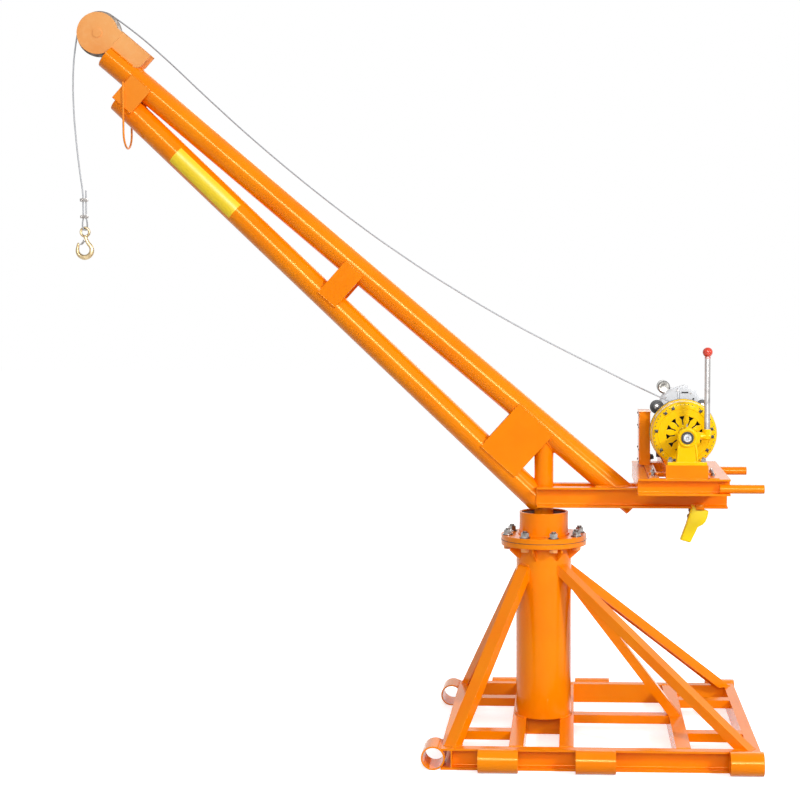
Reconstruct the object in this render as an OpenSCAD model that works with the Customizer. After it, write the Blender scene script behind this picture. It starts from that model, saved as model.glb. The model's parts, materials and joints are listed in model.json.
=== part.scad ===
// Portable slewing mini crane: channel base, bolted column, two-tube boom, rear platform and winch.
// Millimetres. +Z is up, +X points from the slewing axis to the winch, the origin is on the
// ground on the slewing axis.

/* [Base frame] */
// Reach of the base frame on the boom side of the slewing axis
base_left = 372; // [350:1:400]
// Reach of the base frame on the winch side of the slewing axis
base_right = 808; // [780:1:840]
// Half of the base frame's depth
base_half_depth = 540; // [500:1:580]
// Height of the frame channels and cross beams
frame_h = 80; // [70:1:90]
// Flange width of the frame channels
frame_b = 43; // [38:1:48]
// Web thickness of the frame channels
frame_web = 5; // [4:0.5:7]
// Flange thickness of the frame channels
frame_flange = 8; // [6:0.5:10]
// Width of the cross beams
beam_w = 55; // [45:1:60]
// Wall of the cross beams
beam_wall = 4; // [3:0.5:6]
// Distance of the column beams' inner faces from the slewing axis
column_beam_x = 66; // [60:1:75]
// Distance of the intermediate beam's near face from the slewing axis
middle_beam_x = 500; // [460:1:540]
// Width of the flat cross rails
rail_w = 54; // [45:1:60]
// Height of the flat cross rails
rail_h = 34; // [28:1:40]
// Distance of the side rails' centres from the middle plane
rail_y = 260; // [200:1:320]

/* [Sockets] */
// Outside diameter of the socket tubes
socket_d = 89; // [80:1:94]
// Wall of the socket tubes
socket_wall = 6; // [4:0.5:8]
// How far the socket centres stand out of the channel mouths
socket_out = 28; // [27:0.5:30]
// Length of the sockets on the front and the back
socket_l = 148; // [120:1:160]
// Length of the sockets at the winch-side corners
corner_socket_l = 123; // [100:1:140]
// Length of the sockets on the boom side
side_socket_l = 130; // [100:1:150]
// Start of the first front socket
socket_a_x = -232; // [-250:1:-200]
// Start of the second front socket
socket_b_x = 127; // [110:1:150]
// How far corner and side sockets stand past the frame
socket_past = 6; // [0:1:12]

/* [Column] */
// Outside diameter of the column pipe
column_d = 219; // [200:1:230]
// Wall of the column pipe
column_wall = 6; // [5:0.5:10]
// Length of the column pipe
column_h = 685; // [600:5:760]
// Diameter of the two flanges
flange_d = 340; // [330:1:360]
// Thickness of each flange
flange_t = 20; // [16:1:26]
// Diameter of the bolt circle
bolt_circle_d = 295; // [288:1:300]
// Number of flange bolts
bolt_count = 8; // [6:2:12]
// Nominal size of the flange bolts
bolt_d = 20; // [16:1:22]
// Radial reach of the ribs under the flange
rib_reach = 42; // [30:1:46]
// Height of the ribs
rib_h = 56; // [45:1:65]
// Thickness of the ribs
rib_t = 8; // [6:1:12]
// Diameter of the hub pipe
hub_d = 194; // [180:1:200]
// Wall of the hub pipe
hub_wall = 8; // [6:0.5:10]
// Height of the hub pipe
hub_h = 90; // [80:1:120]

/* [Braces] */
// Width of the brace channels
brace_w = 50; // [45:1:60]
// Depth of the brace channels
brace_b = 37; // [32:1:42]
// Web and flange thickness of the brace channels
brace_t = 5; // [4:0.5:7]
// Height of the corner braces' heads on the column
brace_head_z = 690; // [640:1:700]
// Height of the middle brace's head on the column
middle_brace_z = 650; // [600:1:690]
// Inset of the brace feet from the frame's outer edges
brace_inset = 31; // [25:1:40]

/* [Boom] */
// Diameter of the mast
mast_d = 76; // [70:1:90]
// Diameter of the two boom tubes
boom_d = 102; // [95:1:108]
// Wall of the mast and of the boom tubes
tube_wall = 5; // [4:0.5:7]
// Slope of the upper boom tube
upper_angle = 40.3; // [39:0.1:42]
// Height of the upper tube's axis over the hub at the slewing axis
upper_rise = 335; // [320:1:350]
// Length of the upper tube past the slewing axis, towards the winch
upper_tail = 472; // [450:1:490]
// Length of the upper tube from the slewing axis to the tip
upper_reach = 2267; // [2200:1:2330]
// Slope of the lower boom tube
lower_angle = 43.7; // [43:0.1:44.5]
// Height of the lower tube's axis over the hub at the slewing axis
lower_rise = 24; // [15:1:35]
// Length of the lower tube from the slewing axis to its end
lower_reach = 2325; // [2280:1:2400]
// Thickness of the plates that join the tubes
plate_t = 6; // [5:1:10]
// Length of the plates at the boom's foot
foot_plate_l = 182; // [150:1:200]
// Length of the plates at the boom's middle
middle_plate_l = 92; // [80:1:110]
// Length of the plates at the boom's tip
tip_plate_l = 98; // [80:1:110]
// Diameter of the rope hoop's bar
hoop_bar_d = 8; // [6:1:10]
// How far the rope hoop hangs below the lower tube's axis
hoop_drop = 165; // [150:1:180]

/* [Head] */
// Distance of the sheave's centre past the upper tube's end
sheave_past = 78; // [74:1:90]
// Distance of the sheave's centre over the upper tube's axis
sheave_over = 46; // [42:1:54]
// Diameter of the sheave's rim
sheave_d = 180; // [170:1:184]
// Depth of the sheave's groove
groove_depth = 6; // [4:0.5:8]
// Width of the sheave
sheave_w = 40; // [30:1:44]
// Diameter of the head's side plates
cheek_d = 164; // [150:1:168]
// Thickness of the head's side plates
cheek_t = 8; // [6:1:10]
// Inner distance between the head's side plates
cheek_gap = 56; // [54:1:62]
// Length of the side plates' arms on the tube
arm_l = 140; // [120:1:150]
// Height of the arms' top edges over the tube's axis
arm_top = 112; // [105:1:118]
// Diameter of the sheave's pin
sheave_pin_d = 28; // [24:1:34]

/* [Rear frame] */
// Free height between the hub and the rear beams
slew_gap = 25; // [20:1:35]
// Start of the rear beams, on the boom side of the slewing axis
rear_start = 26; // [22:1:34]
// Reach of the rear beams past the slewing axis
rear_reach = 720; // [690:1:750]
// Height of the platform channels
deck_h = 63; // [55:1:70]
// Flange width of the platform channels
deck_b = 40; // [36:1:44]
// Web thickness of the platform channels
deck_web = 5; // [4:0.5:6]
// Flange thickness of the platform channels
deck_flange = 7.5; // [6:0.5:9]
// Half of the platform's depth
deck_half_depth = 340; // [330:1:360]
// Start of the platform along the rear beams
deck_start = 360; // [340:1:370]
// Length of the platform
deck_l = 347; // [340:1:360]
// Width of the slotted rails
slot_rail_w = 38; // [34:1:38]
// Thickness of the slotted rails
slot_rail_t = 5; // [4:0.5:6]
// Distance of the slotted rails from the platform's ends
slot_rail_in = 42; // [41:1:44]
// Number of slots in each slotted rail
slot_count = 9; // [5:2:9]
// Distance between the slots
slot_pitch = 64; // [50:1:70]
// Diameter of the push handles
handle_d = 34; // [28:1:38]
// How far the push handles stand out of the platform
handle_out = 127; // [100:1:180]
// How far the push handles reach into the channel mouths
handle_in = 60; // [40:1:90]

/* [Winch] */
// Distance of the winch from the slewing axis
winch_x = 545; // [541:1:549]
// Width of the winch base
winch_base_w = 160; // [159:1:162]
// Half of the winch base's length
winch_base_half = 320; // [310:1:330]
// Height of the winch base's feet
winch_foot_h = 50; // [46:1:54]
// Depth of the winch base's feet
winch_foot_b = 37; // [32:1:40]
// Thickness of the winch base's plates
winch_plate_t = 5; // [4:0.5:6]
// Height of the drum shaft over the winch base's feet
shaft_rise = 104; // [100:1:112]
// Diameter of the drum shaft
shaft_d = 40; // [34:1:44]
// Diameter of the drum's flange beside the clutch cover
drum_flange_d = 262; // [250:1:264]
// Diameter of the drum's flange beside the gearbox
far_flange_d = 224; // [200:1:240]
// Diameter of the wound rope on the drum
winding_d = 168; // [150:1:172]
// Diameter of the drum barrel
barrel_d = 120; // [100:1:130]
// Free width of the drum between its flanges
drum_w = 120; // [100:1:124]
// Diameter of the clutch cover
cover_d = 254; // [240:1:256]
// Depth of the clutch cover
cover_depth = 90; // [80:1:96]
// Wall of the clutch cover
cover_wall = 5; // [4:0.5:7]
// Number of slots in the clutch cover
cover_slots = 12; // [8:1:16]
// Diameter of the motor
motor_d = 152; // [140:1:156]
// Length of the motor
motor_l = 180; // [160:1:200]
// Height of the motor's axis over the drum's axis
motor_rise = 83; // [76:1:90]
// Depth of the gearbox
gearbox_b = 55; // [45:1:60]
// Diameter of the capacitor can
capacitor_d = 50; // [40:1:52]
// Length of the capacitor can
capacitor_l = 100; // [80:1:120]
// Width of the control box
control_w = 42; // [40:1:68]
// Depth of the control box
control_b = 150; // [120:1:170]
// Height of the control box
control_h = 215; // [190:1:230]

/* [Clutch lever] */
// Diameter of the lever rod
lever_d = 22; // [18:1:24]
// Height of the lever from its pivot to the knob's centre
lever_h = 320; // [280:1:340]
// Diameter of the knob
knob_d = 38; // [34:1:44]
// Distance of the lever from the drum's middle plane
lever_y = 235; // [225:1:240]
// Diameter of the lever's pivot
lever_pin_d = 14; // [12:1:16]

/* [Rope and hook] */
// Diameter of the rope
rope_d = 6; // [5:0.5:7]
// Radius of the hook's bowl, to the middle of the bar
hook_r = 29; // [28:1:32]
// Diameter of the hook's bar
hook_bar_d = 18; // [16:1:18]
// Radius of the hook's eye
eye_r = 12; // [11:0.5:13]
// Thickness of the hook's eye
eye_t = 12; // [10:1:12]
// Length of the hook's safety latch
latch_l = 24; // [20:1:25]

/* [Hidden] */
$fn = 96;

// Clearances: welded curved seats, turning shafts and cuts that run past a face
seat = 0.2;
running = 0.3;
cut = 1;

orange = [1.0, 0.55, 0.05];
yellow = [0.98, 0.83, 0.12];
black = [0.08, 0.08, 0.08];
steel = [0.72, 0.73, 0.75];
silver = [0.85, 0.86, 0.88];
red = [0.85, 0.2, 0.12];
gold = [0.85, 0.75, 0.55];

// Heights of the main levels
column_top = frame_h + column_h;
hub_base = column_top + 2 * flange_t;
hub_top = hub_base + hub_h;
rear_z = hub_top + slew_gap;
deck_z = rear_z + frame_h;
deck_top = deck_z + deck_h;
upper_z = hub_top + upper_rise;
lower_z = hub_top + lower_rise;
winch_foot_top = deck_top + winch_foot_h;
shaft_z = winch_foot_top + shaft_rise;
motor_z = shaft_z + motor_rise;

column_r = column_d / 2;
boom_r = boom_d / 2;
beam_gap = boom_r + seat;
root_r = 5;
web_left = frame_b - base_left;
web_right = base_right - frame_b;
web_depth = base_half_depth - frame_b;

// Stations of the winch along the drum's axis
drum_near = -drum_w * 0.375;
drum_far = drum_near + drum_w;
flange_plate = 14;
cover_back = drum_near - flange_plate;
cover_front = cover_back - cover_depth;
gearbox_y = drum_far + flange_plate + 7;
motor_y = gearbox_y + gearbox_b;
foot_face = winch_base_half - winch_foot_b;

// Outline of a rolled channel: web at the left, mouth to the right
module channel_2d(h, b, web, flange) {
    difference() {
        square([b, h]);
        translate([web + root_r, flange])
            square([b, h - 2 * flange]);
        translate([web, flange + root_r])
            square([b, h - 2 * flange - 2 * root_r]);
        for (z = [flange + root_r, h - flange - root_r])
            translate([web + root_r, z])
                circle(r = root_r, $fn = 24);
    }
}

// Lays an outline along +X, its x to +Y and its y to +Z
module along_x(length) {
    rotate([90, 0, 90])
        linear_extrude(length)
            children();
}

// Lays an outline along -Y, its x to +X and its y to +Z
module along_y(length) {
    rotate([90, 0, 0])
        linear_extrude(length)
            children();
}

// A round bar or hole along +Y, centred on the origin
module bar_y(r, length) {
    rotate([90, 0, 0])
        cylinder(r = r, h = length, center = true);
}

module frame_channel_2d() {
    channel_2d(frame_h, frame_b, frame_web, frame_flange);
}

// Stations of the sockets: [start, length] along the front and back channels
long_sockets = [
    [socket_a_x, socket_l],
    [socket_b_x, socket_l],
    [base_right + socket_past - corner_socket_l, corner_socket_l]
];
socket_y = base_half_depth + socket_out;
side_socket_x = -(base_left + socket_out);
side_socket_y = base_half_depth + socket_past - side_socket_l;

// Places children on the axes of the sockets along the front (side -1) or back (side 1)
module at_long_sockets(side) {
    for (s = long_sockets)
        translate([s[0], side * socket_y, socket_d / 2])
            rotate([0, 90, 0])
                children();
}

module long_socket_cuts(side) {
    for (s = long_sockets)
        translate([s[0] - seat, side * socket_y, socket_d / 2])
            rotate([0, 90, 0])
                cylinder(d = socket_d + 2 * seat, h = s[1] + 2 * seat);
}

module side_socket_cuts() {
    for (side = [-1, 1])
        translate([side_socket_x, side * (side_socket_y + side_socket_l / 2), socket_d / 2])
            bar_y(socket_d / 2 + seat, side_socket_l + 2 * seat);
}

module back_channel_bar() {
    translate([web_left, web_depth, 0])
        along_x(web_right - web_left)
            frame_channel_2d();
}

module base_left_channel() {
    color(orange)
        difference() {
            translate([web_left, base_half_depth, 0])
                mirror([1, 0, 0])
                    along_y(2 * base_half_depth)
                        frame_channel_2d();
            side_socket_cuts();
        }
}

module base_right_channel() {
    color(orange)
        difference() {
            translate([web_right, base_half_depth, 0])
                along_y(2 * base_half_depth)
                    frame_channel_2d();
            long_socket_cuts(-1);
            long_socket_cuts(1);
        }
}

module base_front_channel() {
    color(orange)
        difference() {
            mirror([0, 1, 0])
                back_channel_bar();
            long_socket_cuts(-1);
        }
}

module base_back_channel() {
    color(orange)
        difference() {
            back_channel_bar();
            long_socket_cuts(1);
        }
}

// A box beam along Y between the front and back webs
module cross_beam(x) {
    translate([x, web_depth, 0])
        along_y(2 * web_depth)
            difference() {
                square([beam_w, frame_h]);
                translate([beam_wall, beam_wall])
                    square([beam_w - 2 * beam_wall, frame_h - 2 * beam_wall]);
            }
}

module column_beams() {
    color(orange) {
        cross_beam(column_beam_x);
        cross_beam(-column_beam_x - beam_w);
    }
}

module intermediate_beam() {
    color(orange)
        cross_beam(middle_beam_x);
}

module centre_sleeper() {
    color(orange)
        translate([-column_beam_x, -rail_w / 2, 0])
            cube([2 * column_beam_x, rail_w, frame_h]);
}

// A flat channel rail between two stations, mouth down, its top flush with the frame
module rail(x0, x1, y) {
    translate([x0, y - rail_w / 2, frame_h - rail_h])
        difference() {
            cube([x1 - x0, rail_w, rail_h]);
            translate([-cut, frame_web, -cut])
                cube([x1 - x0 + 2 * cut, rail_w - 2 * frame_web, rail_h - frame_web + cut]);
        }
}

module cross_rails() {
    color(orange) {
        for (y = [-rail_y, rail_y]) {
            rail(web_left, -column_beam_x - beam_w, y);
            rail(middle_beam_x + beam_w, web_right, y);
        }
        rail(column_beam_x + beam_w, middle_beam_x, 0);
    }
}

module socket_tube(length) {
    difference() {
        cylinder(d = socket_d, h = length);
        translate([0, 0, -cut])
            cylinder(d = socket_d - 2 * socket_wall, h = length + 2 * cut);
    }
}

module long_socket_row(side) {
    for (s = long_sockets)
        translate([s[0], side * socket_y, socket_d / 2])
            rotate([0, 90, 0])
                socket_tube(s[1]);
}

module front_sockets() {
    color(orange)
        long_socket_row(-1);
}

module back_sockets() {
    color(orange)
        long_socket_row(1);
}

module left_sockets() {
    color(orange)
        for (side = [-1, 1])
            translate([side_socket_x, side * (side_socket_y + side_socket_l / 2), socket_d / 2])
                rotate([90, 0, 0])
                    translate([0, 0, -side_socket_l / 2])
                        socket_tube(side_socket_l);
}

module column_pipe() {
    color(orange)
        translate([0, 0, frame_h])
            difference() {
                cylinder(r = column_r, h = column_h);
                translate([0, 0, -cut])
                    cylinder(r = column_r - column_wall, h = column_h + 2 * cut);
            }
}

// Angles of the flange bolts, and of the ribs, which stand near the bolts
function bolt_angle(i) = 16 + i * 360 / bolt_count;
function rib_angle(i) = bolt_angle(i) + 13;

module bolt_holes(z, height) {
    for (i = [0 : bolt_count - 1])
        rotate([0, 0, bolt_angle(i)])
            translate([bolt_circle_d / 2, 0, z - cut])
                cylinder(d = bolt_d + 2, h = height + 2 * cut, $fn = 48);
}

module column_flange() {
    color(orange)
        difference() {
            translate([0, 0, column_top])
                cylinder(d = flange_d, h = flange_t);
            translate([0, 0, column_top - cut])
                cylinder(r = column_r - column_wall, h = flange_t + 2 * cut);
            bolt_holes(column_top, flange_t);
        }
}

module flange_ribs() {
    toe = 18;
    color(orange)
        for (i = [0 : bolt_count - 1])
            rotate([0, 0, rib_angle(i)])
                translate([column_r, rib_t / 2, column_top])
                    rotate([90, 0, 0])
                        linear_extrude(rib_t)
                            polygon([[0, 0], [rib_reach, 0], [rib_reach, -toe], [0, -rib_h]]);
}

module flange_bolts() {
    head_h = 0.65 * bolt_d;
    nut_h = 0.8 * bolt_d;
    thread_end = 12;
    grip = 2 * flange_t;
    color(steel)
        for (i = [0 : bolt_count - 1])
            rotate([0, 0, bolt_angle(i)])
                translate([bolt_circle_d / 2, 0, column_top]) {
                    translate([0, 0, -cut])
                        cylinder(d = bolt_d, h = grip + nut_h + thread_end + cut, $fn = 48);
                    translate([0, 0, grip])
                        cylinder(d = 1.7 * bolt_d, h = nut_h, $fn = 6);
                    translate([0, 0, -head_h])
                        cylinder(d = 1.7 * bolt_d, h = head_h, $fn = 6);
                }
}

module hub() {
    color(orange)
        difference() {
            union() {
                translate([0, 0, column_top + flange_t])
                    cylinder(d = flange_d, h = flange_t);
                translate([0, 0, hub_base - cut])
                    cylinder(d = hub_d, h = hub_h + cut);
            }
            translate([0, 0, column_top])
                cylinder(d = hub_d - 2 * hub_wall, h = hub_h + 2 * flange_t + cut);
            bolt_holes(column_top + flange_t, flange_t);
        }
}

bearing_drop = 26;
bearing_top = hub_top - bearing_drop;

module slew_bearing() {
    color(black)
        difference() {
            translate([0, 0, hub_base])
                cylinder(d = hub_d - 2 * hub_wall - 2 * seat, h = bearing_top - hub_base);
            translate([0, 0, hub_base - cut])
                cylinder(d = mast_d + 2 * running, h = hub_h + cut);
        }
}

// A brace channel from its foot to its head, web on the outer and upper side
module brace(foot, head) {
    span = head - foot;
    run = norm([span[0], span[1]]);
    turn = atan2(span[1], span[0]);
    lean = atan2(run, span[2]);
    extra = 60;
    difference() {
        translate(foot)
            rotate([0, lean, turn])
                translate([0, -brace_w / 2, -extra])
                    linear_extrude(norm(span) + 2 * extra)
                        channel_2d(brace_w, brace_b, brace_t, brace_t);
        cylinder(r = column_r + seat, h = column_top);
        translate([foot[0] - 300, foot[1] - 300, frame_h - 200])
            cube([600, 600, 200]);
        translate([-200, -200, head[2]])
            cube([400, 400, 200]);
    }
}

// Foot and head of a corner brace, on the given sides of the slewing axis
function corner_foot(sx, sy) = [
    sx < 0 ? brace_inset - base_left : base_right - brace_inset,
    sy * (base_half_depth - brace_inset),
    frame_h
];
function corner_head(sx, sy) = [sx * column_r * cos(45), sy * column_r * sin(45), brace_head_z];

module brace_front_left() {
    color(orange)
        brace(corner_foot(-1, -1), corner_head(-1, -1));
}

module brace_back_left() {
    color(orange)
        brace(corner_foot(-1, 1), corner_head(-1, 1));
}

module brace_front_right() {
    color(orange)
        brace(corner_foot(1, -1), corner_head(1, -1));
}

module brace_back_right() {
    color(orange)
        brace(corner_foot(1, 1), corner_head(1, 1));
}

module brace_middle() {
    color(orange)
        brace([middle_beam_x + beam_w - 10, 0, frame_h], [column_r, 0, middle_brace_z]);
}

// Frames of the two boom tubes: +X runs down the tube to the winch, +Z out of its upper side
module on_upper_tube() {
    translate([0, 0, upper_z])
        rotate([0, upper_angle, 0])
            children();
}

module on_lower_tube() {
    translate([0, 0, lower_z])
        rotate([0, lower_angle, 0])
            children();
}

module tube_along(x0, x1, r) {
    translate([x0, 0, 0])
        rotate([0, 90, 0])
            cylinder(r = r, h = x1 - x0);
}

module mast() {
    mast_foot = hub_base;
    collar_d = hub_d - 2 * hub_wall - 12;
    collar_h = 8;
    color(orange)
        difference() {
            union() {
                translate([0, 0, mast_foot])
                    cylinder(d = mast_d, h = upper_z - mast_foot);
                translate([0, 0, bearing_top + running])
                    cylinder(d = collar_d, h = collar_h);
            }
            translate([0, 0, mast_foot - cut])
                cylinder(d = mast_d - 2 * tube_wall, h = upper_z - mast_foot + 2 * cut);
            on_upper_tube()
                tube_along(-upper_reach, upper_tail, boom_r + seat);
        }
}

foot_clear = 12;
foot_cut_x = 18;

module lower_boom_tube() {
    color(orange)
        difference() {
            on_lower_tube()
                tube_along(-lower_reach, 60, boom_r);
            on_lower_tube()
                tube_along(-lower_reach - cut, 90, boom_r - tube_wall);
            cylinder(d = mast_d + 2 * seat, h = upper_z);
            on_upper_tube()
                tube_along(-upper_reach - cut, upper_tail, boom_r + seat);
            translate([-foot_cut_x, -200, hub_top - 200])
                cube([400, 400, 600]);
            translate([-300, -200, hub_top + foot_clear - 200])
                cube([600, 400, 200]);
        }
}

module upper_boom_tube() {
    notch = sheave_d / 2 + 8 - sheave_past;
    notch_low = -16;
    color(orange)
        difference() {
            on_upper_tube()
                tube_along(-upper_reach, upper_tail, boom_r);
            on_upper_tube()
                tube_along(-upper_reach - cut, upper_tail + cut, boom_r - tube_wall);
            on_upper_tube()
                translate([-upper_reach - cut, -cheek_gap / 2, notch_low])
                    cube([notch + cut, cheek_gap, boom_d]);
        }
}

// Height of each tube's axis at a station
function upper_axis_z(x) = upper_z - x * tan(upper_angle);
function lower_axis_z(x) = lower_z - x * tan(lower_angle);

// Two plates, one on each side of the tubes, that span their axes at a station
module plate_pair(x, rise, along, past) {
    slope = (upper_angle + lower_angle) / 2;
    z = (upper_axis_z(x) + lower_axis_z(x)) / 2 + rise;
    across = (upper_axis_z(x) - lower_axis_z(x)) * cos(slope) + past;
    for (side = [-1, 1])
        translate([x, side * (boom_r + seat + plate_t / 2), z])
            rotate([0, slope, 0])
                cube([along, plate_t, across], center = true);
}

foot_plate_x = -(upper_tail - 52) / 4;
middle_plate_x = -0.353 * upper_reach;
tip_plate_x = -0.7146 * upper_reach;

module foot_plates() {
    color(orange)
        plate_pair(foot_plate_x, 12, foot_plate_l, 1);
}

module middle_plates() {
    color(orange)
        plate_pair(middle_plate_x, 0, middle_plate_l, -5);
}

module tip_plates() {
    color(orange)
        plate_pair(tip_plate_x, 6, tip_plate_l, 14);
}

// A bar bent to a U across the boom, its legs welded to the tip plates
hoop_x = tip_plate_x - tip_plate_l / 3;
module rope_hoop() {
    leg_y = boom_r + seat + plate_t + hoop_bar_d / 2;
    axis_z = lower_axis_z(hoop_x);
    bend_z = axis_z - hoop_drop + leg_y;
    leg_top = axis_z + 90;
    color(orange)
        translate([hoop_x, 0, 0]) {
            for (side = [-1, 1])
                translate([0, side * leg_y, bend_z])
                    cylinder(d = hoop_bar_d, h = leg_top - bend_z, $fn = 32);
            translate([0, 0, bend_z])
                rotate([0, 90, 0])
                    rotate([0, 0, -90])
                        rotate_extrude(angle = 180)
                            translate([leg_y, 0])
                                circle(d = hoop_bar_d, $fn = 32);
        }
}

// Centre of the sheave in the upper tube's frame
sheave_at = [-upper_reach - sheave_past, 0, sheave_over];

module head_plates() {
    arm_low = 30;
    heel_r = 26;
    heel_z = 62;
    color(orange)
        difference() {
            on_upper_tube()
                for (side = [-1, 1])
                    translate([0, side * (cheek_gap + cheek_t) / 2, 0])
                        union() {
                            translate(sheave_at)
                                bar_y(cheek_d / 2, cheek_t);
                            translate([-upper_reach, cheek_t / 2, 0])
                                along_y(cheek_t)
                                    polygon([
                                        [-sheave_past, arm_low], [arm_l - heel_r, arm_low],
                                        [arm_l - heel_r, heel_z], [arm_l - 2, heel_z],
                                        [arm_l, arm_top], [-sheave_past, arm_top]
                                    ]);
                            translate([arm_l - heel_r - 2, 0, heel_z])
                                translate([-upper_reach, 0, 0])
                                    bar_y(heel_r, cheek_t);
                        }
            on_upper_tube()
                tube_along(-upper_reach - seat, upper_tail, boom_r + seat);
            on_upper_tube()
                translate(sheave_at)
                    bar_y(sheave_pin_d / 2 + seat, 2 * cheek_gap);
        }
}

module sheave_pin() {
    head_d = sheave_pin_d + 8;
    head_t = 3;
    length = cheek_gap + 2 * cheek_t;
    color(steel)
        on_upper_tube()
            translate(sheave_at) {
                bar_y(sheave_pin_d / 2, length + cut);
                for (side = [-1, 1])
                    translate([0, side * (length + head_t) / 2, 0])
                        bar_y(head_d / 2, head_t);
            }
}

module sheave() {
    r = sheave_d / 2;
    half = sheave_w / 2;
    bore = sheave_pin_d / 2 + running;
    lip = 6;
    color(steel)
        on_upper_tube()
            translate(sheave_at)
                rotate([90, 0, 0])
                    rotate_extrude()
                        polygon([
                            [bore, -half], [r - 22, -half], [r - 18, -lip - 4], [r, -lip],
                            [r - groove_depth, -rope_d / 2], [r - groove_depth, rope_d / 2],
                            [r, lip], [r - 18, lip + 4], [r - 22, half], [bore, half]
                        ]);
}

module rear_beams() {
    color(orange)
        for (side = [0, 1])
            mirror([0, side, 0])
                translate([-rear_start, beam_gap, rear_z])
                    along_x(rear_start + rear_reach)
                        frame_channel_2d();
}

deck_end = deck_start + deck_l;
deck_inside = deck_half_depth - deck_b;

module platform_sides() {
    color(orange)
        for (side = [0, 1])
            mirror([0, side, 0])
                translate([deck_start, deck_inside, deck_z])
                    along_x(deck_l)
                        channel_2d(deck_h, deck_b, deck_web, deck_flange);
}

module platform_ends() {
    color(orange) {
        translate([deck_start, deck_inside, deck_z])
            along_y(2 * deck_inside)
                channel_2d(deck_h, deck_b, deck_web, deck_flange);
        translate([deck_end, deck_inside, deck_z])
            mirror([1, 0, 0])
                along_y(2 * deck_inside)
                    channel_2d(deck_h, deck_b, deck_web, deck_flange);
    }
}

// An angle along Y with a row of slots in its flat leg, which lies on the platform sides
module slotted_rail() {
    slot_l = 26;
    slot_w = 11;
    difference() {
        union() {
            translate([0, -deck_half_depth, deck_top])
                cube([slot_rail_w, 2 * deck_half_depth, slot_rail_t]);
            translate([0, seat - deck_inside, deck_top - slot_rail_w + slot_rail_t])
                cube([slot_rail_t, 2 * (deck_inside - seat), slot_rail_w - slot_rail_t]);
        }
        for (i = [1 : slot_count])
            translate([slot_rail_w / 2, (i - (slot_count + 1) / 2) * slot_pitch, deck_top - cut]) {
                translate([-slot_w / 2, (slot_w - slot_l) / 2, 0])
                    cube([slot_w, slot_l - slot_w, slot_rail_t + 2 * cut]);
                for (end = [-1, 1])
                    translate([0, end * (slot_l - slot_w) / 2, 0])
                        cylinder(d = slot_w, h = slot_rail_t + 2 * cut, $fn = 24);
            }
    }
}

module slotted_rails() {
    color(orange) {
        translate([deck_start + slot_rail_in, 0, 0])
            slotted_rail();
        translate([deck_end - slot_rail_in, 0, 0])
            mirror([1, 0, 0])
                slotted_rail();
    }
}

module push_handles() {
    color(orange)
        for (side = [-1, 1])
            translate([
                deck_end - handle_in,
                side * (deck_inside + deck_web + handle_d / 2 + seat),
                deck_z + deck_flange + handle_d / 2 + seat
            ])
                rotate([0, 90, 0])
                    cylinder(d = handle_d, h = handle_in + handle_out);
}

winch_left = winch_x - winch_base_w / 2;
winch_right = winch_x + winch_base_w / 2;
winch_side_h = winch_foot_h - 10;

module winch_base() {
    color(orange)
        union() {
            for (side = [0, 1])
                mirror([0, side, 0])
                    difference() {
                        translate([winch_left, foot_face, deck_top])
                            cube([winch_base_w, winch_foot_b, winch_foot_h]);
                        translate([
                            winch_left + winch_plate_t,
                            foot_face - cut,
                            deck_top - cut
                        ])
                            cube([
                                winch_base_w - 2 * winch_plate_t,
                                winch_foot_b - winch_plate_t + cut,
                                winch_foot_h - winch_plate_t + cut
                            ]);
                    }
            for (x = [winch_left, winch_right - winch_plate_t])
                translate([x, -foot_face - cut, deck_top])
                    cube([winch_plate_t, 2 * foot_face + 2 * cut, winch_side_h]);
        }
}

pedestal_y = -winch_base_half + 18;
pedestal_foot_t = 12;
boss_d = 72;
boss_l = 54;
boss_y = pedestal_y + 10;
ear_x = winch_x + 38;
ear_t = 10;

module winch_pedestal() {
    foot_w = winch_base_w - 12;
    stem_t = 24;
    ear_r = 22;
    color(yellow)
        difference() {
            union() {
                translate([winch_x - foot_w / 2, pedestal_y - 17, winch_foot_top])
                    cube([foot_w, 34, pedestal_foot_t]);
                translate([winch_x, pedestal_y + stem_t / 2, winch_foot_top + pedestal_foot_t - cut])
                    rotate([90, 0, 0])
                        linear_extrude(stem_t)
                            polygon([
                                [-42, 0], [42, 0],
                                [34, shaft_rise - pedestal_foot_t],
                                [-34, shaft_rise - pedestal_foot_t]
                            ]);
                translate([winch_x, boss_y, shaft_z])
                    bar_y(boss_d / 2, boss_l);
                translate([ear_x - 20, pedestal_y - 6, shaft_z - ear_r])
                    cube([20 + ear_t, 12, 2 * ear_r]);
                translate([ear_x, pedestal_y - 6, shaft_z - ear_r])
                    cube([ear_t, -lever_y - pedestal_y + 6, 2 * ear_r]);
                translate([ear_x, -lever_y, shaft_z])
                    rotate([0, 90, 0])
                        cylinder(r = ear_r, h = ear_t);
            }
            translate([winch_x, 0, shaft_z])
                bar_y(shaft_d / 2 + running, 2 * winch_base_half + 100);
            translate([ear_x - cut, -lever_y, shaft_z])
                rotate([0, 90, 0])
                    cylinder(d = lever_pin_d + 2 * running, h = ear_t + 2 * cut);
        }
}

gearbox_w = winch_base_w;
gearbox_foot = deck_top + winch_side_h;
front_plate_t = 12;

// Ears of the gearbox's front plate: [x, z, radius] from the drum's axis
plate_ears = [[-94, 88, 28], [88, 94, 24]];

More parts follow.
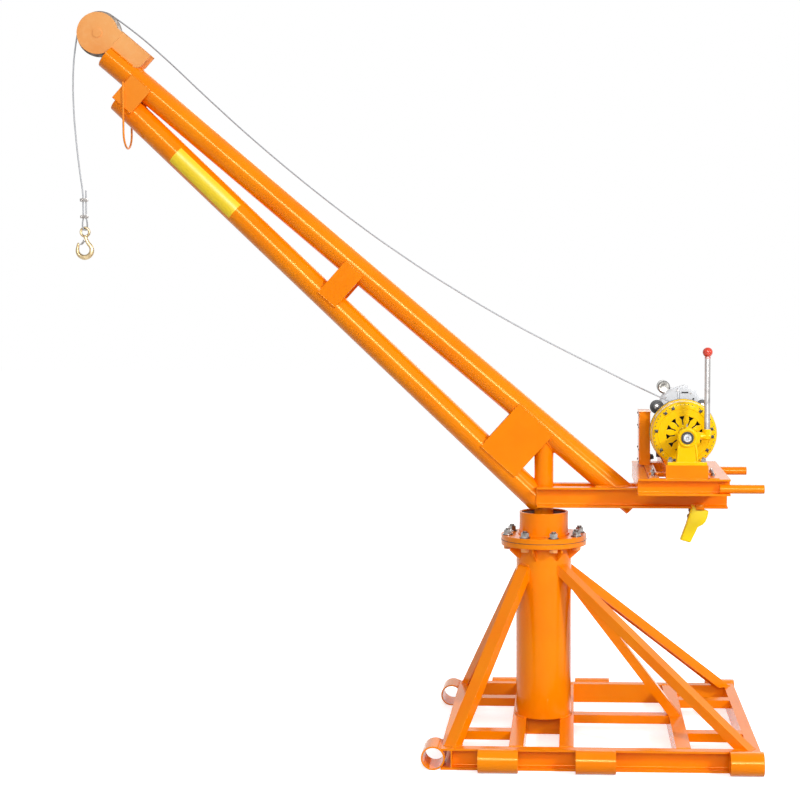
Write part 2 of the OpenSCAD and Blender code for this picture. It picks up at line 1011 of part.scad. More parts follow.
module gearbox() {
    plate_half = 96;
    plate_over = 84;
    color(silver)
        difference() {
            union() {
                translate([winch_x - gearbox_w / 2, gearbox_y, gearbox_foot])
                    cube([gearbox_w, gearbox_b, motor_z - gearbox_foot]);
                translate([winch_x - plate_half, gearbox_y, gearbox_foot])
                    cube([2 * plate_half, front_plate_t, shaft_z + plate_over - gearbox_foot]);
                for (ear = plate_ears)
                    translate([winch_x + ear[0], gearbox_y + front_plate_t / 2, shaft_z + ear[1]])
                        bar_y(ear[2], front_plate_t);
                translate([winch_x, gearbox_y + gearbox_b / 2, motor_z])
                    bar_y(gearbox_w / 2 + 6, gearbox_b);
            }
            translate([winch_x, gearbox_y, shaft_z])
                bar_y(shaft_d / 2 + running, 60);
        }
}

module motor() {
    tail = 24;
    color(silver)
        translate([winch_x, motor_y, motor_z])
            rotate([-90, 0, 0]) {
                cylinder(d = motor_d, h = motor_l - tail);
                translate([0, 0, motor_l - tail - cut])
                    cylinder(d1 = motor_d - 6, d2 = motor_d - 34, h = tail + cut);
            }
}

capacitor_turn = 38;
module capacitor() {
    reach = (motor_d + capacitor_d) / 2 + seat;
    color(black)
        translate([
            winch_x - reach * sin(capacitor_turn),
            motor_y + 12,
            motor_z + reach * cos(capacitor_turn)
        ])
            rotate([-90, 0, 0])
                cylinder(d = capacitor_d, h = capacitor_l);
}

module control_box() {
    color(orange)
        translate([deck_start + slot_rail_in - 18, 120, deck_top + slot_rail_t])
            cube([control_w, control_b, control_h]);
}

// Shaft, barrel and two flanges of the drum, which turn as one
module drum() {
    shaft_front = -winch_base_half - 8;
    color(black)
        translate([winch_x, 0, shaft_z]) {
            translate([0, (drum_near + drum_far) / 2, 0])
                bar_y(barrel_d / 2, drum_w + 2);
            translate([0, drum_near - flange_plate / 2, 0])
                bar_y(drum_flange_d / 2, flange_plate);
            translate([0, drum_far + flange_plate / 2, 0])
                bar_y(far_flange_d / 2, flange_plate);
            translate([0, (shaft_front + gearbox_y + 28) / 2, 0])
                bar_y(shaft_d / 2, gearbox_y + 28 - shaft_front);
        }
}

module rope_winding() {
    side_gap = 0.5;
    color(steel)
        translate([winch_x, 0, shaft_z])
            rotate([-90, 0, 0])
                translate([0, 0, drum_near + side_gap])
                    difference() {
                        cylinder(d = winding_d, h = drum_w - 2 * side_gap);
                        translate([0, 0, -cut])
                            cylinder(d = barrel_d + 2 * seat, h = drum_w + 2 * cut);
                    }
}

// Pressed clutch cover: a rimmed dish with radial finger slots in its face
module clutch_cover() {
    r = cover_d / 2;
    rim_r = r + 3;
    mouth_r = shaft_d / 2 + 5;
    slot_in = 36;
    slot_out = 58;
    slot_w = 4.6;
    round_r = 14;
    color(yellow)
        translate([winch_x, cover_back, shaft_z])
            rotate([90, 0, 0])
                difference() {
                    rotate_extrude()
                        polygon([
                            [r - cover_wall - 18, 0], [rim_r, 0], [rim_r, 8], [r, 8],
                            [r, cover_depth - round_r],
                            [r - round_r * 0.3, cover_depth - round_r * 0.3],
                            [r - round_r, cover_depth],
                            [mouth_r, cover_depth],
                            [mouth_r, cover_depth - cover_wall],
                            [r - round_r, cover_depth - cover_wall],
                            [r - cover_wall, cover_depth - round_r],
                            [r - cover_wall, 8], [r - cover_wall - 18, 8]
                        ]);
                    for (i = [0 : cover_slots - 1])
                        rotate([0, 0, i * 360 / cover_slots + 8.3])
                            translate([0, 0, cover_depth - cover_wall - cut]) {
                                translate([slot_in, -slot_w / 2, 0])
                                    cube([slot_out - slot_in, slot_w, cover_wall + 2 * cut]);
                                linear_extrude(cover_wall + 2 * cut)
                                    polygon([
                                        [slot_out - 7, 0], [slot_out + 12, 10.5], [slot_out + 12, -10.5]
                                    ]);
                            }
                }
}

lever_x = winch_x + 80;
module clutch_lever() {
    hub_r = 15;
    hub_start = ear_x + ear_t + 1;
    color(steel)
        translate([0, -lever_y, shaft_z])
            union() {
                translate([ear_x - 8, 0, 0])
                    rotate([0, 90, 0])
                        cylinder(d = lever_pin_d, h = hub_start - ear_x + 10);
                translate([hub_start, 0, 0])
                    rotate([0, 90, 0])
                        cylinder(r = hub_r, h = lever_x + lever_d / 2 + 3 - hub_start);
                translate([lever_x, 0, 0])
                    cylinder(d = lever_d, h = lever_h - knob_d / 2 + 6);
            }
}

module lever_knob() {
    color(red)
        difference() {
            translate([lever_x, -lever_y, shaft_z + lever_h])
                sphere(d = knob_d);
            translate([lever_x, -lever_y, shaft_z])
                cylinder(d = lever_d + 2 * seat, h = lever_h - knob_d / 2 + 6 + seat);
        }
}

// Hand control that hangs under the near rear beam, leaning towards the column
module pendant() {
    lean = 13;
    color(yellow)
        difference() {
            translate([612, -beam_gap - frame_b / 2, rear_z])
                rotate([0, lean, 0]) {
                    translate([-36, -25, -72])
                        cube([72, 50, 100]);
                    translate([-32, -20, -142])
                        cube([56, 40, 71]);
                }
            translate([400, -200, rear_z])
                cube([400, 400, 200]);
        }
}

// Centre of the sheave
sheave_x = sheave_over * sin(upper_angle) - (upper_reach + sheave_past) * cos(upper_angle);
sheave_z = upper_z + sheave_over * cos(upper_angle) + (upper_reach + sheave_past) * sin(upper_angle);
rope_on_sheave = sheave_d / 2 - groove_depth + rope_d / 2 + 0.8;

// Route of the hoist rope's middle: off the drum, over the sheave, down to the clips, through
// the hook's eye and back up to its free end
rope_route = concat(
    [
        [581, 0, 1296.4], [520, 0, 1323], [455, 0, 1352], [390, 0, 1382], [321, 0, 1415],
        [231, 0, 1460], [151, 0, 1499], [71, 0, 1539], [-9, 0, 1580], [-89, 0, 1622],
        [-169, 0, 1666], [-249, 0, 1712], [-329, 0, 1760], [-409, 0, 1809], [-489, 0, 1860],
        [-569, 0, 1914], [-649, 0, 1969], [-729, 0, 2027], [-809, 0, 2087], [-889, 0, 2149],
        [-969, 0, 2213], [-1049, 0, 2279], [-1129, 0, 2347], [-1209, 0, 2417], [-1289, 0, 2490],
        [-1369, 0, 2564], [-1449, 0, 2640], [-1529, 0, 2713], [-1580, 0, 2757],
        [-1625, 0, 2793], [-1665, 0, 2823]
    ],
    [
        for (a = [55 : 13 : 172])
            [sheave_x + rope_on_sheave * cos(a), 0, sheave_z + rope_on_sheave * sin(a)]
    ],
    [
        [-1853, 0, 2755], [-1860, 0, 2710], [-1865, 0, 2665], [-1868, 0, 2615],
        [-1869, 0, 2560], [-1868, 0, 2505], [-1866, 0, 2450], [-1862, 0, 2395],
        [-1858, 0, 2345], [-1853, 0, 2295], [-1848, 0, 2250], [-1843, 0, 2210],
        [-1839, 0, 2180], [-1837, 0, 2160], [-1836, 0, 2145], [-1836, 0, 2110], [-1836, 0, 2075],
        [-1836, 0, 2057], [-1837, -6, 2045], [-1836, -12, 2034], [-1835, -15, 2024],
        [-1833, -14, 2016], [-1832, -9, 2012], [-1830, 0, 2012], [-1828, 9, 2012],
        [-1827, 14, 2016], [-1825, 15, 2024], [-1824, 12, 2034], [-1823, 6, 2045],
        [-1824, 0, 2057], [-1824, 0, 2075], [-1824, 0, 2110], [-1824, 0, 2145],
        [-1824, 0, 2168]
    ]
);

function unit(v) = v / norm(v);
function route_way(p, i) = unit(p[min(i + 1, len(p) - 1)] - p[max(i - 1, 0)]);
function ring_points(at, way, r, sides) =
    let (
        side_a = unit(cross(way, abs(way[1]) < 0.9 ? [0, 1, 0] : [1, 0, 0])),
        side_b = cross(way, side_a)
    )
    [for (k = [0 : sides - 1]) at + r * (cos(k * 360 / sides) * side_a + sin(k * 360 / sides) * side_b)];

// One closed tube with flat ends along a list of points
module swept_tube(points, r, sides) {
    rings = len(points);
    verts = [for (i = [0 : rings - 1]) each ring_points(points[i], route_way(points, i), r, sides)];
    walls = [
        for (i = [0 : rings - 2], k = [0 : sides - 1])
            [
                i * sides + k, i * sides + (k + 1) % sides,
                (i + 1) * sides + (k + 1) % sides, (i + 1) * sides + k
            ]
    ];
    first = [for (k = [0 : sides - 1]) sides - 1 - k];
    last = [for (k = [0 : sides - 1]) (rings - 1) * sides + k];
    polyhedron(points = verts, faces = concat([first], walls, [last]), convexity = 10);
}

module hoist_rope() {
    color(steel)
        swept_tube(rope_route, rope_d / 2, 8);
}

// Point of the rope that carries the hook, heights of the two clips, half the strands' distance
hang = [-1830, 0, 2012];
clip_heights = [2068, 2134];
strand_x = 6;

module rope_clips() {
    clip_h = 8;
    color(steel)
        for (z = clip_heights)
            translate([hang[0], 0, z])
                difference() {
                    union() {
                        translate([-15, -7, -clip_h])
                            cube([30, 14, clip_h]);
                        for (side = [-1, 1])
                            translate([side * 11, -12, -clip_h / 2])
                                rotate([-90, 0, 0])
                                    cylinder(d = 5, h = 26, $fn = 24);
                    }
                    for (side = [-1, 1])
                        translate([side * strand_x, 0, -2 * clip_h])
                            cylinder(d = rope_d + seat, h = 3 * clip_h, $fn = 48);
                }
}

bar_r = hook_bar_d / 2;
neck_r = bar_r - 1.5;
ring_w = 10;
bowl = hang + [-3, 0, -80];
eye_centre = hang - [0, 0, eye_r - rope_d / 2 - running];
eye_foot = eye_centre - [0, 0, eye_r + ring_w / 2];
neck_turn = 52;
neck = bowl + hook_r * [cos(neck_turn), 0, sin(neck_turn)];
neck_way = unit(neck - eye_foot);
tip_turn = 170;
tip_foot = bowl + hook_r * [cos(tip_turn), 0, sin(tip_turn)];

module hook() {
    arc = 360 - tip_turn + neck_turn;
    tip_l = 20;
    tip_r = 6;
    color(gold)
        difference() {
            union() {
                translate(eye_centre)
                    bar_y(eye_r + ring_w, eye_t);
                translate(eye_foot)
                    rotate([0, atan2(neck_way[0], neck_way[2]), 0])
                        cylinder(r = neck_r, h = norm(neck - eye_foot), $fn = 48);
                translate(neck)
                    sphere(r = bar_r + 0.6, $fn = 48);
                translate(bowl)
                    rotate([90, 0, 0])
                        rotate([0, 0, tip_turn])
                            rotate_extrude(angle = arc)
                                translate([hook_r, 0])
                                    circle(r = bar_r, $fn = 48);
                translate(tip_foot)
                    rotate([0, 90 - tip_turn + 90, 0])
                        translate([0, 0, -2])
                            cylinder(r1 = bar_r - 0.4, r2 = tip_r, h = tip_l + 2, $fn = 48);
                translate(tip_foot)
                    rotate([0, 90 - tip_turn + 90, 0])
                        translate([0, 0, tip_l])
                            sphere(r = tip_r + 0.3, $fn = 48);
            }
            translate(eye_centre)
                bar_y(eye_r, 4 * eye_t);
        }
}

// The latch turns on a pin beside the neck and closes on the inside of the hook's tip
latch_pin_r = 3;
latch_pin = eye_foot + 14 * neck_way
    + (neck_r + latch_pin_r + running) * [neck_way[2], 0, -neck_way[0]];
latch_turn = 130;

module hook_latch() {
    color(black)
        translate(latch_pin)
            rotate([0, latch_turn, 0])
                union() {
                    bar_y(latch_pin_r, 14);
                    translate([0, -5, -1.5])
                        cube([latch_l, 10, 3]);
                }
}

base_left_channel();
base_right_channel();
base_front_channel();
base_back_channel();
column_beams();
intermediate_beam();
centre_sleeper();
cross_rails();
front_sockets();
back_sockets();
left_sockets();
column_pipe();
column_flange();
flange_ribs();
flange_bolts();
hub();
slew_bearing();
brace_front_left();
brace_back_left();
brace_front_right();
brace_back_right();
brace_middle();
mast();
lower_boom_tube();
upper_boom_tube();
foot_plates();
middle_plates();
tip_plates();
rope_hoop();
head_plates();
sheave_pin();
sheave();
rear_beams();
platform_sides();
platform_ends();
slotted_rails();
push_handles();
winch_base();
winch_pedestal();
gearbox();
motor();
capacitor();
control_box();
drum();
rope_winding();
clutch_cover();
clutch_lever();
lever_knob();
pendant();
hoist_rope();
rope_clips();
hook();
hook_latch();
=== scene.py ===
# %% [markdown]
# # A portable slewing mini crane
# The solids of this crane come ready made, in metres, with +Z up and the origin on the ground
# under the slewing axis. Here they get paint, welds, bolts and machine detail, and a plain studio.

import json
import math
import random

import bmesh
import bpy
from mathutils import Matrix, Vector


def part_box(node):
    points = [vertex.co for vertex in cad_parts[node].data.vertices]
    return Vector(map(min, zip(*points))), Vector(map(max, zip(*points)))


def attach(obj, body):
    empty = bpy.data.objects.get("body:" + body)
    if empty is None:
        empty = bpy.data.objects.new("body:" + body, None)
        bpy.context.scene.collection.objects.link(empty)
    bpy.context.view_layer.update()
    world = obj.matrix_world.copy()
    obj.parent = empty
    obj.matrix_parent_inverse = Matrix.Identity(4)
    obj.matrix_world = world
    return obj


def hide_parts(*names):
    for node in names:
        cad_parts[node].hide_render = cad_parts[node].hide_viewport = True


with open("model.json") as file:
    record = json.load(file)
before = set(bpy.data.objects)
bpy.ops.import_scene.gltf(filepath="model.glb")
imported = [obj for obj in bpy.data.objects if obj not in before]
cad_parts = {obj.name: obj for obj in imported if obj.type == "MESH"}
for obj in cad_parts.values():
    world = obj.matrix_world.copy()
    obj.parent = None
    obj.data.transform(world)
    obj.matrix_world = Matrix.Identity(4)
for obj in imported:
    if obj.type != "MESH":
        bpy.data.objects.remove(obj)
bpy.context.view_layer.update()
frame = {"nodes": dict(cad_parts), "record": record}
MM = 0.001
print("solids:", len(frame["nodes"]))

# %% [markdown]
# ## Camera
# The crane is seen from the lever's side, a little above the winch, with a long lens from 6.6 m
# away. The lens is shifted sideways, as an architect's camera is, so the base keeps its upright
# lines while the boom fills the picture.


# %% The camera
def add_object(name, data):
    made = bpy.data.objects.new(name, data)
    bpy.context.scene.collection.objects.link(made)
    return made


bpy.context.scene.view_settings.view_transform = "Standard"
lens = bpy.data.cameras.new("lens")
lens.lens = 74.49
lens.sensor_width = 36.0
lens.shift_x = -0.1243
camera = add_object("camera", lens)
camera.location = (0.109, -6.549, 1.767)
camera.rotation_euler = (math.radians(86.25), 0, math.radians(2.5))
bpy.context.scene.camera = camera
print("camera at", tuple(camera.location))

# %% [markdown]
# ## Helpers for finishes
# A material is a graph of nodes. One function adds a node, sets its properties and fills or links
# its sockets, and four small ones add the nodes that every finish needs: a noise, a change of
# range, a mix of two colours and a bump. Colours are written as sRGB hex values, which one
# function turns into the linear values that the shader wants. A pattern's scale is worked out from
# the size of its blotches in millimetres.


# %% Node and colour helpers
def linear(hex_value, alpha=1.0):
    channels = [int(hex_value[i:i + 2], 16) / 255 for i in (1, 3, 5)]
    return [c / 12.92 if c <= 0.04045 else ((c + 0.055) / 1.055) ** 2.4 for c in channels] + [alpha]


def node(material, kind, sockets=None, **settings):
    made = material.node_tree.nodes.new(kind)
    for name, value in settings.items():
        setattr(made, name, value)
    for name, value in (sockets or {}).items():
        socket = made.inputs[name]
        if isinstance(value, bpy.types.NodeSocket):
            material.node_tree.links.new(value, socket)
        else:
            socket.default_value = value
    return made


def start_material(name):
    material = bpy.data.materials.new(name)
    material.use_nodes = True
    material.node_tree.nodes.clear()
    return material


def end_material(material, **sockets):
    names = {key.replace("_", " "): value for key, value in sockets.items()}
    shader = node(material, "ShaderNodeBsdfPrincipled", names)
    node(material, "ShaderNodeOutputMaterial", {"Surface": shader.outputs[0]})
    print("finish:", material.name)
    return material


# %% Noise, range, mix and bump
def object_place(material):
    return node(material, "ShaderNodeTexCoord").outputs["Object"]


def noise(material, place, size_mm, detail):
    """A noise from 0 to 1 whose blotches are about this size."""
    sockets = {"Vector": place, "Scale": 1 / (size_mm * MM), "Detail": detail}
    return node(material, "ShaderNodeTexNoise", sockets).outputs["Fac"]


def remap(material, value, low, high, to_low=0.0, to_high=1.0):
    sockets = {"Value": value, "From Min": low, "From Max": high, "To Min": to_low,
               "To Max": to_high}
    return node(material, "ShaderNodeMapRange", sockets).outputs[0]


def mix(material, share, first, second):
    sockets = {"Factor": share, "A": first, "B": second}
    return node(material, "ShaderNodeMix", sockets, data_type="RGBA").outputs["Result"]


def bump(material, height, strength, depth):
    sockets = {"Height": height, "Strength": strength, "Distance": depth}
    return node(material, "ShaderNodeBump", sockets).outputs[0]


# %% [markdown]
# ## Sprayed enamel
# The frame, boom and winch base are mild steel sprayed with alkyd enamel, straight from the gun.
# The eye sees a saturated colour, a faint orange peel, and a slight drift in shade from coat to
# coat. A clear coat would reflect the white studio and make the orange milky, so there is none:
# the base's own reflection is weak, and its tint is the warm one of the coat. Dust settles on
# faces that look up, so they are a touch duller. The peel of the real coat is finer than the 2.5
# mm drawn here. It is kept very low, since from this far it would only show as grain.

# %% Sizes of the enamel's patterns, in millimetres
COAT_DRIFT, DUST_MOTTLE, DUST_SPECK = 250, 16.667, 5.263
PEEL_DEPTH = 0.6 * MM
print("enamel patterns:", COAT_DRIFT, DUST_MOTTLE, DUST_SPECK, "mm")


# %% Enamel
def enamel(name, main, deep, worn, peel_mm=2.5, roughness=0.14, peel=0.004, grime=0.3, gloss=0.35,
           sheen="#FFDC94"):
    material = start_material(name)
    place = object_place(material)
    coat = remap(material, noise(material, place, COAT_DRIFT, 3.0), 0.35, 0.68)
    tone = mix(material, coat, linear(main), linear(deep))
    mottle = noise(material, place, DUST_MOTTLE, 5.0)
    normal = node(material, "ShaderNodeNewGeometry").outputs["Normal"]
    up = node(material, "ShaderNodeSeparateXYZ", {0: normal}).outputs["Z"]
    settled = remap(material, up, 0.2, 1.0, 0.4, 1.0)
    dusty = remap(material, mottle, 0.5, 0.8, 0.0, grime)
    dust = node(material, "ShaderNodeMath", {0: dusty, 1: settled}, operation="MULTIPLY").outputs[0]
    dusted = mix(material, dust, tone, linear(worn))
    dull = remap(material, mottle, 0.3, 0.8, roughness, roughness + 0.1)
    skin = noise(material, place, peel_mm * 2, 1.0)
    specks = noise(material, place, DUST_SPECK, 2.0)
    wave = node(material, "ShaderNodeMath", {0: skin, 1: specks}, operation="ADD").outputs[0]
    return end_material(material, Base_Color=dusted, Roughness=dull, Specular_IOR_Level=gloss,
                        Specular_Tint=linear(sheen), Normal=bump(material, wave, peel, PEEL_DEPTH))


# %% [markdown]
# ## The coats on this crane
# Most of it is orange. The head stands highest and its orange has bleached almost to peach, and
# the plates at the tip have faded half as far. The winch's cover and pedestal are yellow, its
# castings black, and the motor silver grey. Their shine is neutral where the pigment is.

# %% Coats
orange_enamel = enamel("orange_alkyd_enamel", "#FF8F02", "#FE8300", "#FF9A0C")
bleached_enamel = enamel("bleached_orange_enamel", "#FBB26C", "#F49B52", "#FFC890", grime=0.7,
                         roughness=0.4, gloss=0.15)
faded_enamel = enamel("faded_orange_enamel", "#FE9A34", "#FC9028", "#FFAA50", roughness=0.3,
                      gloss=0.2)
yellow_enamel = enamel("yellow_alkyd_enamel", "#FFCE00", "#FFC400", "#FFD830")
black_enamel = enamel("black_machine_enamel", "#1B1B1C", "#121213", "#2C2B29", roughness=0.4,
                      grime=0.6, gloss=0.5, sheen="#FFFFFF")
motor_enamel = enamel("silver_grey_motor_enamel", "#E2E3E5", "#D6D8DB", "#C6C8CB", roughness=0.34,
                      gloss=0.4, sheen="#FFFFFF")

# %% [markdown]
# ## Bare and plated metals
# Bolts, nuts and the lever are zinc plated: a warm grey, a little blotchy where the bath left its
# bloom. The hook is forged steel with a yellow passivated coat, rougher than the bolts. The shaft
# is turned, the capacitor's can is drawn, and the sheave is a greased casting. Their roughness
# comes from fine scratches and the bloom from a slow noise. A bar's scratches are stretched along
# it.

# %% Sizes of the metals' patterns
BLOOM_MM = 22.222
SCRATCH_DEPTH = 0.4 * MM
print("bloom:", BLOOM_MM, "mm")


# %% Metals
def plated(name, bright, bloom, roughness, scratch_mm=0.8, grain=(1, 1, 1), relief=0.08):
    material = start_material(name)
    place = object_place(material)
    stretched = node(material, "ShaderNodeMapping", {"Vector": place, "Scale": grain}).outputs[0]
    bath = remap(material, noise(material, place, BLOOM_MM, 4.0), 0.4, 0.7)
    scratches = noise(material, stretched, scratch_mm, 2.0)
    dull = remap(material, scratches, 0.3, 0.7, roughness - 0.08, roughness + 0.12)
    return end_material(material, Base_Color=mix(material, bath, linear(bright), linear(bloom)),
                        Metallic=1.0, Roughness=dull,
                        Normal=bump(material, scratches, relief, SCRATCH_DEPTH))


zinc_plate = plated("zinc_plated_steel", "#A8A4A1", "#77726F", 0.24)
lever_steel = plated("drawn_zinc_plated_bar", "#B4B1AF", "#9C9998", 0.3, grain=(6, 6, 0.3))
can_aluminium = plated("drawn_aluminium", "#B4B2AC", "#8C8A85", 0.3, grain=(1, 6, 1))
turned_steel = plated("turned_steel", "#A9AAAC", "#808286", 0.3, grain=(1, 8, 1))
forged_gold = plated("yellow_passivated_forging", "#C4B08A", "#8C785A", 0.34, scratch_mm=2.5,
                     relief=0.3)
spring_steel = plated("blued_spring_steel", "#6A6A66", "#48463F", 0.36)
cast_iron = plated("greased_cast_iron", "#77706A", "#4E4640", 0.5, scratch_mm=2.0)

# %% [markdown]
# ## Wire rope
# The rope is laid from strands of drawn wire, dulled by grease. Its twist is too fine to see from
# this far, so it is a plain grey with a slow, slanted drift of shade. The drift has to follow the
# rope and not the room, so it reads the rope's own UV map, which runs once round it and once along
# it. The low metallic value keeps the thin rope from mirroring the white floor.

# %% Rope finish
rope_wire = start_material("bright_laid_wire")
rope_uv = node(rope_wire, "ShaderNodeTexCoord").outputs["UV"]
shades = node(rope_wire, "ShaderNodeTexWave", {"Vector": rope_uv, "Scale": 1.0},
              wave_type="BANDS", bands_direction="DIAGONAL")
shade = shades.outputs["Fac"]
end_material(rope_wire, Base_Color=mix(rope_wire, shade, linear("#8C8E92"), linear("#B6B8BC")),
             Metallic=0.15, Roughness=0.55, Normal=bump(rope_wire, shade, 0.4, 0.6 * MM))

# %% [markdown]
# ## Plastics and rubber
# The knob is moulded phenolic, smooth and glossy. The pendant's shell is moulded ABS with a fine
# spark-eroded texture, its buttons are a harder plastic and its collars rubber. The decal's vinyl
# and the bearing's old grease need the same few nodes, so they share the function.

# %% Sizes of the plastics' patterns
SHADE_DRIFT = 33.333
GRAIN_DEPTH = 0.3 * MM
print("shade drift:", SHADE_DRIFT, "mm")


# %% Plastics
def moulded(name, main, deep, roughness, grain_mm, relief, specular=0.5):
    material = start_material(name)
    place = object_place(material)
    slow = noise(material, place, SHADE_DRIFT, 3.0)
    grain = noise(material, place, grain_mm, 2.0)
    dull = remap(material, slow, 0.0, 1.0, roughness - 0.06, roughness + 0.08)
    return end_material(material, Base_Color=mix(material, slow, linear(main), linear(deep)),
                        Roughness=dull, Specular_IOR_Level=specular,
                        Normal=bump(material, grain, relief, GRAIN_DEPTH))


knob_phenolic = moulded("red_phenolic", "#E2452A", "#D43A22", 0.18, 2.0, 0.03)
pendant_abs = moulded("yellow_abs", "#FFE800", "#FFDF00", 0.42, 1.0, 0.2, specular=0.25)
black_rubber = moulded("black_rubber", "#232323", "#191919", 0.6, 1.2, 0.25)
old_grease = moulded("old_bearing_grease", "#6A3512", "#351A0A", 0.75, 6.0, 0.6, specular=0.05)
button_plastic = moulded("tan_button_plastic", "#B98A5E", "#A87A50", 0.4, 1.2, 0.1)
vinyl_film = moulded("yellow_vinyl_film", "#FFDE1F", "#F8D312", 0.35, 3.0, 0.04)

# %% [markdown]
# ## Helpers for shapes
# Pieces are made with bmesh operators. A small set of helpers makes a box, a round bar, a lathe
# turning and a swept bar, and one function ends every piece: it recalculates the normals, bevels
# the sharp edges if asked, marks those that stay sharp, and puts the piece on its moving body.


# %% Points, boxes and bars
def mm(x, y, z):
    return Vector((x, y, z)) * MM


def box(bm, low, high, turn=None):
    size = Vector(high) - Vector(low)
    centre = (Vector(high) + Vector(low)) / 2
    place = Matrix.Translation(centre) @ Matrix.Diagonal((*size, 1))
    if turn is not None:
        place = turn @ place
    bmesh.ops.create_cube(bm, size=1, matrix=place)


def rod(bm, start, end, radius, sides=32, end_radius=None):
    start, end = Vector(start), Vector(end)
    way = end - start
    place = Matrix.Translation((start + end) / 2) @ way.to_track_quat("Z", "Y").to_matrix().to_4x4()
    return bmesh.ops.create_cone(
        bm, cap_ends=True, segments=sides, radius1=radius,
        radius2=radius if end_radius is None else end_radius, depth=way.length, matrix=place,
    )["verts"]


# %% Turning
def lathe(bm, profile, centre, axis=(0, 1, 0), steps=72):
    """Turns a closed outline of (distance along the axis, radius) about the axis."""
    axis = Vector(axis).normalized()
    side = axis.orthogonal().normalized()
    centre = Vector(centre)
    verts = [bm.verts.new(centre + axis * along + side * radius) for along, radius in profile]
    edges = [bm.edges.new((verts[i], verts[(i + 1) % len(verts)])) for i in range(len(verts))]
    before = set(bm.verts) - set(verts)
    bmesh.ops.spin(bm, geom=verts + edges, cent=centre, axis=axis, angle=math.tau, steps=steps,
                   use_merge=True, use_duplicate=False)
    made = [v for v in bm.verts if v not in before]
    bmesh.ops.remove_doubles(bm, verts=made, dist=1e-6)


def turned(bm, outline, centre, axis=(0, 1, 0), steps=72):
    """Turns an outline given in millimetres."""
    lathe(bm, [(along * MM, radius * MM) for along, radius in outline], centre, axis, steps)


# %% Ending a piece
def bevel_sharp(bm, width, angle=35, segments=2):
    sharp = [e for e in bm.edges if e.is_manifold and e.calc_face_angle(0) > math.radians(angle)]
    bmesh.ops.bevel(bm, geom=sharp, offset=width, affect="EDGES", segments=segments, profile=0.5,
                    material=-1, clamp_overlap=True)


def place_piece(piece, body, replaces=()):
    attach(piece, body)
    if replaces:
        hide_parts(*replaces)
    print(f"{piece.name}: {len(piece.data.polygons)} faces, rides on {body}")
    return piece


def end_piece(bm, name, material, body, replaces=(), bevel=0.0, smooth=32):
    bmesh.ops.recalc_face_normals(bm, faces=bm.faces)
    if bevel:
        bevel_sharp(bm, bevel)
    for face in bm.faces:
        face.smooth = True
    for edge in bm.edges:
        edge.smooth = not (edge.is_manifold and edge.calc_face_angle(0) > math.radians(smooth))
    mesh = bpy.data.meshes.new(name)
    bm.to_mesh(mesh)
    bm.free()
    mesh.materials.append(material)
    return place_piece(add_object(name, mesh), body, replaces)


# %% Swept bars and smooth lines
def swept(name, strands, radius, material, sides=4):
    """One mesh of round bars along lists of points; a point may carry its share of the radius."""
    curve = bpy.data.curves.new(name, "CURVE")
    curve.dimensions = "3D"
    curve.bevel_depth = radius
    curve.bevel_resolution = sides
    curve.use_fill_caps = True
    for points in strands:
        line = curve.splines.new("POLY")
        line.points.add(len(points) - 1)
        for spot, point in zip(line.points, points):
            spot.co = (*point[:3], 1)
            spot.radius = point[3] if len(point) > 3 else 1.0
    holder = bpy.data.objects.new(name, curve)
    mesh = bpy.data.meshes.new_from_object(holder)
    bpy.data.objects.remove(holder)
    mesh.name = name
    mesh.materials.clear()
    mesh.materials.append(material)
    for face in mesh.polygons:
        face.use_smooth = True
    return add_object(name, mesh)


def smooth_line(points, per_span=6):
    """A smooth line through a few points, with a Catmull-Rom spline."""
    line = []
    pts = [Vector(p) for p in points]
    for i in range(len(pts) - 1):
        a, b, c, d = pts[max(i - 1, 0)], pts[i], pts[i + 1], pts[min(i + 2, len(pts) - 1)]
        for k in range(per_span):
            t = k / per_span
            line.append(0.5 * (2 * b + (c - a) * t + (2 * a - 5 * b + 4 * c - d) * t * t
                               + (3 * b - a - 3 * c + d) * t ** 3))
    return line + [pts[-1]]


# %% [markdown]
# ## The hoist rope
# The rope leaves the top of the drum, rises in a slack curve to the sheave, hangs to the hook,
# passes through its eye and comes back up to two clips. It is one curve of constant diameter
# through the same points as its solid, and 6 mm wire rope is stiff, so its bends are wide.

# %% Route of the rope, in millimetres
rope_diameter = 6 * MM
drum_side = [
    (581, 1296.4), (520, 1323), (455, 1352), (390, 1382), (321, 1415), (231, 1460), (151, 1499),
    (71, 1539), (-9, 1580), (-89, 1622), (-169, 1666), (-249, 1712), (-329, 1760), (-409, 1809),
    (-489, 1860), (-569, 1914), (-649, 1969), (-729, 2027), (-809, 2087), (-889, 2149),
    (-969, 2213), (-1049, 2279), (-1129, 2347), (-1209, 2417), (-1289, 2490), (-1369, 2564),
    (-1449, 2640), (-1529, 2713), (-1580, 2757), (-1625, 2793), (-1665, 2823),
]
hook_side = [
    (-1853, 0, 2755), (-1860, 0, 2710), (-1865, 0, 2665), (-1868, 0, 2615), (-1869, 0, 2560),
    (-1868, 0, 2505), (-1866, 0, 2450), (-1862, 0, 2395), (-1858, 0, 2345), (-1853, 0, 2295),
    (-1848, 0, 2250), (-1843, 0, 2210), (-1839, 0, 2180), (-1837, 0, 2160), (-1836, 0, 2145),
    (-1836, 0, 2110), (-1836, 0, 2075), (-1836, 0, 2057), (-1837, -6, 2045), (-1836, -12, 2034),
    (-1835, -15, 2024), (-1833, -14, 2016), (-1832, -9, 2012), (-1830, 0, 2012), (-1828, 9, 2012),
    (-1827, 14, 2016), (-1825, 15, 2024), (-1824, 12, 2034), (-1823, 6, 2045), (-1824, 0, 2057),
    (-1824, 0, 2075), (-1824, 0, 2110), (-1824, 0, 2145), (-1824, 0, 2168),
]
print("route points:", len(drum_side) + len(hook_side))

